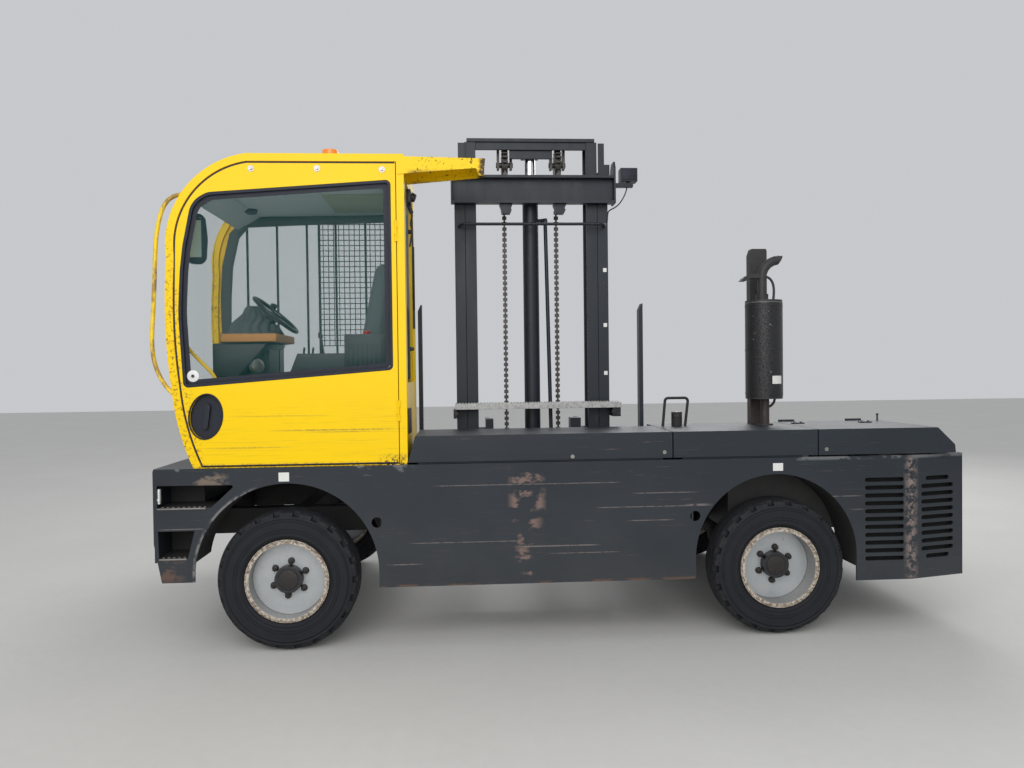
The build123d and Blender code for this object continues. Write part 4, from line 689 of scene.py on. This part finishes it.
console_body = slab((-2.18, -1.84), (-0.84, -0.36), (1.60, 1.815))
knee_room = 0.19
for vertex in console_body.data.vertices:
    if vertex.co.z < 1.7 and vertex.co.x > -2.0:
        vertex.co.x -= knee_room
pillar = drum((-2.03, -0.60, 1.60), (-1.98, -0.60, 1.87), 0.05, 20)
spot_lamp = drum((-1.95, -0.80, 1.668), (-1.905, -0.83, 1.676), 0.034, 24, 0.046)
finished(assembled("console", [console_body, pillar], 0.012, 3), "chassis", black_plastic)
finished(assembled("console_lamp", [spot_lamp], 0.004), "chassis", bright_zinc)
entry_y = -0.95
entry_path = [(x, entry_y, z) for x, z in (
    (-2.306, 1.84), (-2.300, 1.80), (-2.21, 1.70), (-2.13, 1.62), (-2.118, 1.57),
)]
finished(assembled("entry_tube", [tube(entry_path, 0.011)]), "chassis", cab_paint)
floor_rod = assembled("floor_rod", [drum((-1.874, -0.45, 1.10), (-1.874, -0.45, 1.90), 0.008, 12)])
finished(floor_rod, "chassis", black_plastic)

# Pillar boot. A gathered cloth bellows that closes the gap round the steering pillar, tied
# narrow at its top and fixed wide to the shelf.
boot_cloth = Finish("boot_cloth", roughness=0.9)
boot_cloth.bump(boot_cloth.mottled((0.050, 0.058, 0.062), (0.11, 0.12, 0.125), 60, detail=6), 0.0015)
boot_x, boot_y, boot_foot, boot_height = -2.0, -0.60, 1.873, 0.185
boot_flare, boot_neck, pleats, pleat_depth, sag_depth = 0.135, 0.045, 17, 0.010, 0.012
bpy.ops.object.select_all(action="DESELECT")
bpy.ops.mesh.primitive_cylinder_add(vertices=96, radius=1, depth=1, end_fill_type="NOTHING")
boot = bpy.context.object
bpy.ops.object.mode_set(mode="EDIT")
bpy.ops.mesh.select_all(action="SELECT")
bpy.ops.mesh.subdivide(number_cuts=11)
bpy.ops.mesh.fill_holes(sides=0)
bpy.ops.object.mode_set(mode="OBJECT")
for vertex in boot.data.vertices:
    rise = vertex.co.z + 0.5
    angle = math.atan2(vertex.co.y, vertex.co.x)
    spread = boot_flare * (1 - rise) ** 0.8 + boot_neck
    pleat = pleat_depth * math.sin(angle * pleats + 2.2 * math.sin(rise * 7)) * (1 - 0.6 * rise)
    sag = sag_depth * math.sin(rise * 9 + angle * 3)
    reach = spread + pleat + sag
    vertex.co = (
        boot_x + 0.02 * rise + reach * math.cos(angle) * (1 if math.cos(angle) > 0 else 0.85),
        boot_y + reach * 1.1 * math.sin(angle),
        boot_foot + rise * boot_height,
    )
finished(assembled("pillar_boot", [boot]), "chassis", boot_cloth)

# Armrest, switch box and stop button. Hard black mouldings beside the seat, with a short
# lever in front and a red button on top.
armrest = slab((-1.70, -1.30), (-0.93, -0.87), (1.62, 1.745))
front_slope = 0.05
for vertex in armrest.data.vertices:
    if vertex.co.x < -1.6 and vertex.co.z > 1.7:
        vertex.co.x += front_slope
lever = drum((-1.500, -0.90, 1.745), (-1.515, -0.90, 1.850), 0.008, 12)
knob = drum((-1.513, -0.90, 1.840), (-1.519, -0.90, 1.872), 0.016, 16, 0.012)
finished(assembled("armrest", [armrest, lever, knob], 0.008, 3), "chassis", black_plastic)
box_top = 1.858
box_parts = [slab((-1.365, -1.115), (-0.96, -0.90), (1.60, box_top))]
first_rib, rib_pitch, rib_width = -1.35, 0.028, 0.012
for rib in range(8):
    rib_x = first_rib + rib_pitch * rib
    box_parts.append(slab((rib_x, rib_x + rib_width), (-0.964, -0.957), (1.66, 1.80)))
finished(assembled("switch_box", box_parts, 0.004), "chassis", black_plastic)
red_button = Finish("red_button", roughness=0.35)
red_button.mottled((0.40, 0.012, 0.012), (0.50, 0.02, 0.018), 60)
button_head = drum((-1.236, -0.92, box_top), (-1.236, -0.92, box_top + 0.020), 0.020, 20, 0.024)
finished(assembled("stop_button", [button_head], 0.003), "chassis", red_button)

# Seat. Foam cushions in speckled grey cloth on a plain pan. Each cushion is a padded skin
# that a short cloth simulation blows up.
seat_cloth = Finish("seat_fabric", roughness=0.9)
speckle = seat_cloth.noise(420, detail=3)
seat_cloth.colour(seat_cloth.mix(speckle.above(0.5, 0.08), (0.045, 0.052, 0.056), (0.16, 0.18, 0.185)))
seat_cloth.bump(seat_cloth.noise(700, detail=2), 0.0006)


def cushion(name, side_outline, near, far, swell):
    """A padded skin blown up by a cloth simulation from a prism with the given side outline."""
    settling_frames = 20
    count = len(side_outline)
    mesh = bpy.data.meshes.new(name)
    mesh.from_pydata(
        [(x, near, z) for x, z in side_outline] + [(x, far, z) for x, z in side_outline],
        [],
        [list(range(count)), list(range(2 * count - 1, count - 1, -1))]
        + [[i, i + count, (i + 1) % count + count, (i + 1) % count] for i in range(count)],
    )
    piece = bpy.data.objects.new(name, mesh)
    scene.collection.objects.link(piece)
    bpy.ops.object.select_all(action="DESELECT")
    piece.select_set(True)
    bpy.context.view_layer.objects.active = piece
    bpy.ops.object.mode_set(mode="EDIT")
    bpy.ops.mesh.select_all(action="SELECT")
    bpy.ops.mesh.normals_make_consistent(inside=False)
    bpy.ops.mesh.bevel(offset=0.022, segments=3, affect="EDGES")
    bpy.ops.object.mode_set(mode="OBJECT")
    remesh = piece.modifiers.new("skin", "REMESH")
    remesh.mode = "VOXEL"
    remesh.voxel_size = 0.0065
    bpy.ops.object.modifier_apply(modifier="skin")
    before = [vertex.co.copy() for vertex in piece.data.vertices]
    cloth = piece.modifiers.new("foam", "CLOTH")
    cloth.settings.use_pressure = True
    cloth.settings.uniform_pressure_force = 4
    cloth.settings.effector_weights.gravity = 0
    cloth.point_cache.frame_end = settling_frames
    for frame_number in range(1, settling_frames + 1):
        scene.frame_set(frame_number)
    bpy.ops.object.modifier_apply(modifier="foam")
    for vertex, start in zip(piece.data.vertices, before):
        move = vertex.co - start
        if move.length > swell:
            vertex.co = start + move * (swell / move.length)
    scene.frame_set(1)
    smooth = piece.modifiers.new("smooth", "SUBSURF")
    smooth.levels = 1
    smooth.render_levels = 1
    bpy.ops.object.modifier_apply(modifier="smooth")
    bpy.ops.object.shade_smooth()
    piece.select_set(False)
    return piece


cushion_swell = 0.014
seat_base = cushion(
    "seat_cushion",
    [(-1.685, 1.490), (-1.275, 1.490), (-1.285, 1.570), (-1.660, 1.578)],
    -0.872, -0.424, cushion_swell,
)
seat_rest = cushion(
    "seat_back",
    [(-1.315, 1.605), (-1.195, 1.605), (-1.098, 2.270), (-1.140, 2.312), (-1.172, 2.290)],
    -0.862, -0.434, cushion_swell,
)
for seat_piece in (seat_base, seat_rest):
    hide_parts("seat")
    finished(seat_piece, "chassis", seat_cloth)

# Mirror and beacon. The mirror's moulded shell has a glass let into its near face, painted pale green-grey
# as a painted reflection, and the beacon is an amber lens on the roof.
finished(eased("mirror", 0.005), "chassis", rubber)
beacon_lens = Finish("beacon_lens", roughness=0.15, Coat_Weight=0.4)
beacon_lens.mottled((0.85, 0.20, 0.01), (0.95, 0.30, 0.02), 40)
finished(eased("beacon", 0.010, 3), "chassis", beacon_lens)
# The mirror's glass is painted a pale green-grey, a painted reflection.
mirror_painted_reflection = Finish("mirror_painted_reflection", roughness=0.25, metallic=0.2)
mirror_painted_reflection.mottled((0.42, 0.55, 0.52), (0.55, 0.66, 0.63), 6)
pane_line = [(-2.245, -0.898, z) for z in (2.33, 2.55)]
mirror_pane = assembled("mirror_pane", [tube(pane_line, 0.048, smooth=False, flat=0.06, sides=32)])
finished(mirror_pane, "chassis", mirror_painted_reflection)

# Rear of the cab. A wiper with its motor and lead, small black fittings down the rear edge,
# and a rubber strip across the rear end of the roof.
rear_face, motor_y, lead_y = -0.987, -0.86, -0.84
wiper_lead = [(x, lead_y, z) for x, z in (
    (-0.975, 2.66), (-0.950, 2.60), (-0.972, 2.54), (-0.955, 2.50), (-0.975, 2.40),
)]
rear_fittings = assembled("rear_fittings", [
    slab((rear_face, -0.960), (-0.92, -0.80), (2.655, 2.735)),
    drum((-0.962, motor_y, 2.700), (-0.935, motor_y, 2.690), 0.030, 20, 0.024),
    drum((-0.980, motor_y, 2.655), (-0.958, motor_y, 2.600), 0.013, 12),
    tube(wiper_lead, 0.006),
    drum((rear_face, -0.80, 2.497), (-0.960, -0.80, 2.497), 0.016, 16, 0.012),
    drum((rear_face, -0.80, 1.770), (-0.960, -0.80, 1.770), 0.014, 16, 0.010),
    slab((rear_face, -0.972), (-1.02, -0.90), (1.26, 1.41)),
], 0.003)
finished(rear_fittings, "chassis", black_plastic)
wiper_arm = assembled("rear_wiper", [
    drum((-0.958, motor_y, 2.600), (-0.962, -0.70, 2.02), 0.006, 10),
    slab((-0.972, -0.956), (-0.704, -0.696), (1.90, 2.42)),
], 0.002, 1)
finished(wiper_arm, "chassis", black_plastic)
roof_strip = assembled("roof_strip", [slab((-1.245, -0.990), (-1.05, -0.30), (2.9005, 2.9065))], 0.002, 1)
finished(roof_strip, "chassis", rubber)

# Wheels. Industrial pneumatic tyres with ribbed side walls on silver steel rims. The hubs
# and nuts are black, and rust creeps over the flange where the tyre chafes it.
def from_axle(finish):
    """Distances from the axle's centre line and along it. Each wheel piece carries the axle's place."""
    axle = finish.node("Attribute", {"attribute_name": "axle_place"}, output="Vector")
    away = finish.node("VectorMath", {"operation": "SUBTRACT"}, finish.place, axle)
    across, outward, upward = (finish.axis(letter, away) for letter in "XYZ")
    return (across * across + upward * upward).maths("SQRT"), outward.maths("ABSOLUTE")


def ring(distance, middle, half_width):
    """A mask that peaks at one radius and fades to nothing on both sides."""
    return (1 - (distance - middle).maths("ABSOLUTE") * (1 / half_width)).clamp()


tyre_rubber = Finish("tyre_rubber", roughness=0.75, Specular_IOR_Level=0.3)
tyre_radius, tyre_depth = from_axle(tyre_rubber)
tyre_dust = tyre_rubber.noise(9, detail=8)
scuff = tyre_rubber.noise(38, detail=8, roughness=0.7)
tyre_colour = tyre_rubber.mix(tyre_dust, (0.008, 0.009, 0.012), (0.018, 0.019, 0.023))
tread_scuff = tyre_radius.above(0.375, 0.02) * scuff.above(0.52, 0.10) * 0.4
tyre_rubber.colour(tyre_rubber.mix(tread_scuff, tyre_colour, (0.050, 0.049, 0.048)))
wall_ribs = ring(tyre_radius, 0.362, 0.006) * -1.4
for rib_radius, rib_width in ((0.268, 0.006), (0.292, 0.004), (0.306, 0.003), (0.352, 0.005)):
    wall_ribs = wall_ribs + ring(tyre_radius, rib_radius, rib_width)
tread_grooves = ring(tyre_depth, 0.028, 0.007) * tyre_radius.above(0.404, 0.003)
tyre_rubber.bump(wall_ribs - tread_grooves * 3 + scuff * 0.35, 0.0035)

rim_paint = Finish("rim_paint", roughness=0.42)
rim_radius = from_axle(rim_paint)[0]
rim_speckle = rim_paint.noise(55, detail=8, roughness=0.75)
rim_clouds = rim_paint.noise(12, detail=6)
rim_colour = rim_paint.mix(rim_clouds, (0.40, 0.42, 0.43), (0.54, 0.56, 0.57))
rim_colour = rim_paint.mix(rim_speckle.above(0.64, 0.03) * 0.7, rim_colour, (0.13, 0.12, 0.115))
# A dark ring at the flange's inner edge is painted shade in the groove there.
rim_colour = rim_paint.mix(ring(rim_radius, 0.2165, 0.0035) * 0.8, rim_colour, (0.05, 0.045, 0.04))
flange = rim_radius.above(0.2195, 0.002)
rim_colour = rim_paint.mix(flange, rim_colour, (0.56, 0.50, 0.41))
flange_rust = flange * rim_paint.noise(60, detail=8, roughness=0.75).above(0.50, 0.05)
rim_colour = rim_paint.mix(flange_rust * 0.85, rim_colour, (0.14, 0.085, 0.055))
# A dark ring at the rim's outer edge is painted shade in the groove where the tyre's bead sits.
rim_colour = rim_paint.mix(ring(rim_radius, 0.2375, 0.003) * 0.8, rim_colour, (0.07, 0.055, 0.045))
hub_black = rim_radius.below(0.0815, 0.0008)
hub_ring = ring(rim_radius, 0.070, 0.003) * 0.4
rim_colour = rim_paint.mix(hub_black, rim_colour, (0.016, 0.017, 0.020))
rim_paint.colour(rim_colour)
rim_paint.link("Metallic", 0.45 - flange * 0.35 - hub_black * 0.45)
rim_paint.link("Roughness", 0.36 + flange_rust * 0.4 + hub_black * 0.1)
rim_paint.bump(rim_speckle * 0.3 + hub_ring - flange_rust * 0.5, 0.0010)

nut_black = Finish("nut_black", roughness=0.45, metallic=0.4)
nut_black.mottled((0.012, 0.012, 0.013), (0.055, 0.048, 0.042), 90, detail=5)

# The wheels stand turned about their axles, as they were parked, and the nuts turn with them.
front_axle, rear_axle, axle_height = -1.699, 1.251, 0.412
tyre_face, half_tyre = 1.092, 0.115
front_dish, rear_dish = 0.090, 0.120
stud_count, stud_circle = 6, 0.1025
parked_at = math.radians(24)
parked_turn = Matrix.Rotation(-parked_at, 4, "Y")
for wheel, axle_x, side, dish in (
    ("front_left", front_axle, -1, front_dish), ("front_right", front_axle, 1, front_dish),
    ("rear_left", rear_axle, -1, rear_dish), ("rear_right", rear_axle, 1, rear_dish),
):
    axle_place = Vector((axle_x, side * (tyre_face - half_tyre), axle_height))
    tyre = eased("tyre_" + wheel, 0.004)
    rim = eased("rim_" + wheel, 0.003)
    rim.data.transform(Matrix.Translation(axle_place) @ parked_turn @ Matrix.Translation(-axle_place))
    for wheel_piece, slot_name, finish in ((tyre, "tyre", tyre_rubber), (rim, "rim_paint", rim_paint)):
        carried = wheel_piece.data.attributes.new("axle_place", "FLOAT_VECTOR", "POINT")
        carried.data.foreach_set("vector", list(axle_place) * len(wheel_piece.data.vertices))
        finished(wheel_piece, "wheel_" + wheel, finish)
    nut_parts = []
    for nut in range(stud_count):
        angle = math.tau * nut / stud_count + parked_at
        nut_x = axle_x + stud_circle * math.cos(angle)
        nut_z = axle_height + stud_circle * math.sin(angle)
        for inner, outer, radius, sides, end_radius in (
            (-0.004, 0.005, 0.0215, 20, 0.020), (0.005, 0.0235, 0.0185, 6, 0.0170),
            (0.0235, 0.032, 0.0085, 10, 0.0065),
        ):
            start = (nut_x, side * (tyre_face - dish + inner), nut_z)
            end = (nut_x, side * (tyre_face - dish + outer), nut_z)
            nut_parts.append(drum(start, end, radius, sides, end_radius))
    cap_foot, cap_face = (
        (axle_x, side * (tyre_face - dish + reach), axle_height) for reach in (0.050, 0.056))
    nut_parts.append(drum(cap_foot, cap_face, 0.062, 36, 0.058))
    wheel_nuts = assembled("wheel_nuts_" + wheel, nut_parts, 0.0015)
    finished(wheel_nuts, "wheel_" + wheel, nut_black)

# Mast. Rolled channel and flat bar in near-black blue paint, clouded by grease and rubbed
# pale in short upright streaks.
mast_paint = Finish("mast_paint", roughness=0.38, Specular_IOR_Level=0.35)
grease = mast_paint.noise(5, detail=8, place=mast_paint.stretched(3, 3, 0.6))
mast_rub = mast_paint.noise(16, detail=9, roughness=0.72, place=mast_paint.stretched(1, 1, 0.35))
mast_colour = mast_paint.mix(grease, (0.006, 0.009, 0.014), (0.017, 0.023, 0.032))
rubbed_streaks = mast_rub.above(0.665, 0.03) * 0.5
mast_paint.colour(mast_paint.mix(rubbed_streaks, mast_colour, (0.12, 0.11, 0.11)))
mast_paint.link("Roughness", 0.25 + grease * 0.35)
mast_paint.bump(mast_paint.noise(70, detail=4) * 0.5 - rubbed_streaks, 0.0005)
for mast_node, mast_body in (
    ("reach_frame", "reach_carriage"), ("outer_mast", "mast_outer"), ("lift_cylinder", "mast_outer"),
    ("mast_fittings", "mast_outer"), ("inner_mast", "mast_inner"), ("fork_carriage", "carriage"),
    ("tilt_barrels", "tilt_cylinders"),
):
    finished(eased(mast_node, 0.002), mast_body, mast_paint)

# Mast slides. Long thin strips of the channels' own colour, screwed to the outer uprights, that
# the inner uprights slide along, and that close the play between the two.
mast_x, slide_reach, half_slide = -0.182, 0.4475, 0.020
slide_parts = []
for side in (-1, 1):
    slide_x = mast_x + side * slide_reach
    slide_parts.append(slab((slide_x - half_slide, slide_x + half_slide), (-0.2588, -0.2562), (0.62, 2.93)))
finished(assembled("mast_slides", slide_parts), "mast_outer", mast_paint)

# Cylinder rods. Hard chromed and polished bar for the lift rod and the two tilt rods, with
# faint wiped marks along its length.
chrome = Finish("cylinder_rod", roughness=0.12, metallic=1.0)
chrome.mottled((0.66, 0.66, 0.68), (0.78, 0.78, 0.80), 30, place=chrome.stretched(1, 1, 0.1))
finished(eased("lift_rod", 0.0), "mast_inner", chrome)
finished(eased("tilt_rods", 0.0), "tilt_pistons", chrome)

# Mast fixings. Bolts through the plank's clamps, a glass on the work lamp and the lead that
# feeds it, and three small blank labels on the right upright.
clamp_face = -0.5405
mast_bolts = bolts("mast_bolts", [
    (0.345, clamp_face, 1.345), (0.375, clamp_face, 1.330), (-0.705, clamp_face, 1.345),
], (0, -1, 0), 0.020, 0.011)
finished(mast_bolts, "mast_outer", nut_black)
lamp_glass = assembled("mast_lamp_glass", [slab((0.432, 0.532), (-0.4545, -0.4505), (2.910, 2.984))], 0.002)
finished(lamp_glass, "mast_outer", rubber)
upright_face = -0.4205
mast_labels = assembled("mast_labels", [
    slab((0.303, 0.327), (upright_face - 0.0006, upright_face), (label_z - 0.013, label_z + 0.013))
    for label_z in (2.305, 1.931, 1.604)
])
finished(mast_labels, "mast_outer", label_vinyl)
lead_points = [
    (0.480, -0.400, 2.899), (0.478, -0.404, 2.870), (0.462, -0.408, 2.820), (0.430, -0.410, 2.765),
    (0.396, -0.412, 2.733), (0.352, -0.415, 2.712), (0.336, -0.4255, 2.690), (0.334, -0.4265, 2.630),
]
lamp_lead = assembled("mast_lamp_lead", [tube(lead_points, 0.0045)])
finished(lamp_lead, "mast_outer", black_plastic)

# Chains. Leaf chain from the crossbeam up over the sheaves and down to the carriage. The links
# on the sheaves are plates in a fan.
chain_steel = Finish("chain_steel", roughness=0.42, metallic=0.6)
chain_steel.mottled((0.012, 0.012, 0.013), (0.11, 0.10, 0.09), 60, detail=6)
finished(eased("sheaves", 0.002), "mast_inner", chain_steel)
chain_x = (-0.356, 0.008)
sheave_y, sheave_z, wrap_radius = -0.310, 3.040, 0.0955
link_count, pin_reach, plate_thickness = 9, 0.021, 0.008
wrap_parts = []
for x in chain_x:
    for link in range(link_count):
        angle = math.pi * link / (link_count - 1)
        pin_y, pin_z = sheave_y - wrap_radius * math.cos(angle), sheave_z + wrap_radius * math.sin(angle)
        wrap_parts.append(drum((x - pin_reach, pin_y, pin_z), (x + pin_reach, pin_y, pin_z), 0.0058, 10))
        for plate_x in (x - 0.013, x - 0.004, x + 0.005):
            plate_end = (plate_x + plate_thickness, pin_y, pin_z)
            wrap_parts.append(drum((plate_x, pin_y, pin_z), plate_end, 0.0125, 12))
chain_wraps = assembled("chain_wraps", wrap_parts)
finished(chain_wraps, "mast_inner", chain_steel)
near_run = eased("near_chains", 0.0)
far_run = eased("far_chains", 0.0)
for chain_run in (near_run, far_run):
    chain_run.data.materials.append(chain_steel.material)
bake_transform(near_run)
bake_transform(far_run)

# Guard plank. Pressed galvanised walkway sheet with two rows of punched teeth on its top,
# clamped across the outer uprights.
galvanised = Finish("galvanised", roughness=0.5, metallic=0.5)
crystals = galvanised.node("TexVoronoi", {}, Vector=galvanised.place, Scale=70, output="Color")
spangle = galvanised.axis("X", crystals)
zinc_grain = spangle * 0.6 + galvanised.noise(45, detail=6) * 0.4
galvanised.colour(galvanised.mix(zinc_grain, (0.22, 0.22, 0.215), (0.56, 0.56, 0.54)))
galvanised.link("Roughness", 0.35 + spangle * 0.3)
finished(eased("guard_plank", 0.001), "mast_outer", galvanised)
plank_top, tooth_height = 1.412, 0.0045
tooth_count, first_tooth, tooth_pitch = 54, -0.703, 0.0203
teeth = []
for row_y in (-0.545, -0.475):
    for tooth in range(tooth_count):
        tooth_x = first_tooth + tooth * tooth_pitch
        tooth_head = (tooth_x, row_y, plank_top + tooth_height)
        teeth.append(drum((tooth_x, row_y, plank_top), tooth_head, 0.0065, 6, 0.004))
finished(assembled("plank_teeth", teeth), "mast_outer", galvanised)

# Forks. Forged black bars hung on the carriage, with the paint worn through to steel in
# places along the blades.
fork_steel = Finish("fork_steel", roughness=0.45)
fork_rub = fork_steel.noise(12, detail=9, roughness=0.7, place=fork_steel.stretched(1, 0.3, 1))
fork_steel.colour(fork_steel.mix(fork_rub.above(0.50, 0.12), (0.020, 0.020, 0.022), (0.20, 0.18, 0.165)))
fork_steel.bump(fork_rub, 0.0005)
finished(eased("forks", 0.004), "carriage", fork_steel)

# Exhaust. Black painted stack whose muffler wears a punched heat shield, scorched brown on
# its foot pipe, with the intake duct standing behind it.
exhaust_steel = Finish("exhaust_steel", roughness=0.55)
soot = exhaust_steel.noise(18, detail=8)
flecks = exhaust_steel.noise(60, detail=6, roughness=0.75)
exhaust_colour = exhaust_steel.mix(soot, (0.012, 0.012, 0.013), (0.036, 0.033, 0.032))
foot_heat = exhaust_steel.within("Z", 1.24, 1.42, 0.02) * exhaust_steel.noise(22, detail=8).above(0.42, 0.1)
exhaust_colour = exhaust_steel.mix(foot_heat * 0.4, exhaust_colour, (0.070, 0.042, 0.026))
exhaust_colour = exhaust_steel.mix(flecks.above(0.66, 0.02) * 0.6, exhaust_colour, (0.30, 0.30, 0.29))
exhaust_steel.colour(exhaust_colour)
exhaust_steel.bump(flecks, 0.0008)
finished(eased("exhaust_stack", 0.003), "chassis", exhaust_steel)

# Heat shield. A thin punched sheet wrapped round the muffler, its holes painted near-black as painted shade,
# closed by a seam at its side and held by three straps, with a blank label stuck across its front.
stack_x, stack_y = 1.320, -0.670
shield_foot, shield_height, shield_radius = 1.4355, 0.620, 0.1162
bpy.ops.object.select_all(action="DESELECT")
bpy.ops.mesh.primitive_cylinder_add(
    vertices=96, radius=shield_radius, depth=shield_height, end_fill_type="NOTHING",
    location=(stack_x, stack_y, shield_foot + shield_height / 2),
)
shield = bpy.context.object
thickness = shield.modifiers.new("thickness", "SOLIDIFY")
thickness.thickness = 0.0015
thickness.offset = 1
bpy.ops.object.modifier_apply(modifier="thickness")
strap_width = 0.014
shield_parts = [shield, slab((1.4365, 1.4440), (stack_y - 0.012, stack_y + 0.012), (1.440, 2.052))]
for strap_foot in (1.452, 1.738, 2.026):
    strap_head = (stack_x, stack_y, strap_foot + strap_width)
    shield_parts.append(drum((stack_x, stack_y, strap_foot), strap_head, shield_radius + 0.003, 96))
shield_finish = Finish("heat_shield", roughness=0.42, metallic=0.3)
shield_wear = shield_finish.noise(46, detail=8, roughness=0.75)
from_hole = shield_finish.node("TexVoronoi", {}, Vector=shield_finish.place, Scale=95, output="Distance")
# The punched holes are painted near-black, as painted shade inside them.
punched_hole_shade = from_hole.below(0.28, 0.06)
shield_colour = shield_finish.mix(punched_hole_shade * 0.85, (0.022, 0.022, 0.024), (0.002, 0.002, 0.002))
shield_colour = shield_finish.mix(shield_wear.above(0.655, 0.02) * 0.8, shield_colour, (0.36, 0.36, 0.35))
# A painted highlight along the shield's top edge, where light falls on it.
upper_rim_highlight = shield_finish.axis("Z").above(2.049, 0.003) * 0.6
shield_finish.colour(shield_finish.mix(upper_rim_highlight, shield_colour, (0.20, 0.20, 0.20)))
shield_finish.bump(punched_hole_shade * -1 + shield_wear * 0.3, 0.0016)
finished(assembled("heat_shield", shield_parts), "chassis", shield_finish)
label_radius, label_z, half_label = shield_radius + 0.0046, 1.548, 0.026
label_path = []
for turn in range(4, 41, 6):
    away_x, away_y = math.sin(math.radians(turn)), -math.cos(math.radians(turn))
    label_path.append((stack_x + label_radius * away_x, stack_y + label_radius * away_y, label_z))
shield_label = assembled("shield_label", [tube(label_path, 0.0005, smooth=False)])
for vertex in shield_label.data.vertices:
    vertex.co.z = label_z + (half_label if vertex.co.z > label_z else -half_label)
finished(shield_label, "chassis", label_vinyl)

# Hood fittings. A bent hoop guards the filler cap, whose top is worn bright, screws hold the
# foot of the hoods, and low black hinge covers and a lifting pin stand on the top.
finished(eased("hood_hoop", 0.0), "chassis", underbody_paint)
cap_foot, knob_top, skirt_top, button_top = ((0.748, -0.620, z) for z in (1.300, 1.330, 1.336, 1.345))
cap_knob = assembled("filler_cap", [
    drum(cap_foot, knob_top, 0.036, 12), drum(knob_top, skirt_top, 0.033, 24, 0.029),
], 0.003)
finished(cap_knob, "chassis", black_plastic)
cap_top = assembled("filler_cap_top", [drum(skirt_top, button_top, 0.024, 24, 0.018)], 0.002)
finished(cap_top, "chassis", bright_zinc)
hood_side = -1.092
for screws_name, screws_body, screw_places in (
    ("hood_screws", "chassis", [(-0.013, hood_side, 1.112), (0.542, hood_side, 1.128)]),
    ("lid_screws", "engine_lid", [(1.539, hood_side, 1.128)]),
):
    screws = bolts(screws_name, screw_places, (0, -1, 0), 0.012, 0.005, 2.0)
    finished(screws, screws_body, bright_zinc)
lid_top, cover_top, cover_y = 1.250, 1.258, -0.605
cover_parts = []
for cover_x in (1.574, 2.039):
    cover_width = (cover_x - 0.040, cover_x + 0.040)
    cover_parts.append(slab(cover_width, (cover_y - 0.020, cover_y + 0.020), (lid_top, cover_top)))
    for screw_x in (cover_x - 0.022, cover_x + 0.022):
        screw_head = (screw_x, cover_y, cover_top + 0.006)
        cover_parts.append(drum((screw_x, cover_y, cover_top), screw_head, 0.009, 12))
finished(assembled("lid_covers", cover_parts, 0.003), "engine_lid", black_plastic)
pin_foot, pin_neck, pin_head = ((2.215, -0.44, z) for z in (lid_top, 1.290, 1.300))
pin_parts = [drum(pin_foot, pin_neck, 0.006, 10), drum(pin_neck, pin_head, 0.009, 12)]
finished(assembled("lid_pin", pin_parts, 0.001, 1), "engine_lid", exhaust_steel)

# Engine. A cast block under the opening hood, shown as one plain form in oily black paint,
# which is seen only with the hood up.
engine_paint = Finish("engine_paint", roughness=0.6)
engine_paint.mottled((0.018, 0.018, 0.020), (0.05, 0.045, 0.04), 12, detail=6)
finished(eased("engine_block", 0.01), "chassis", engine_paint)
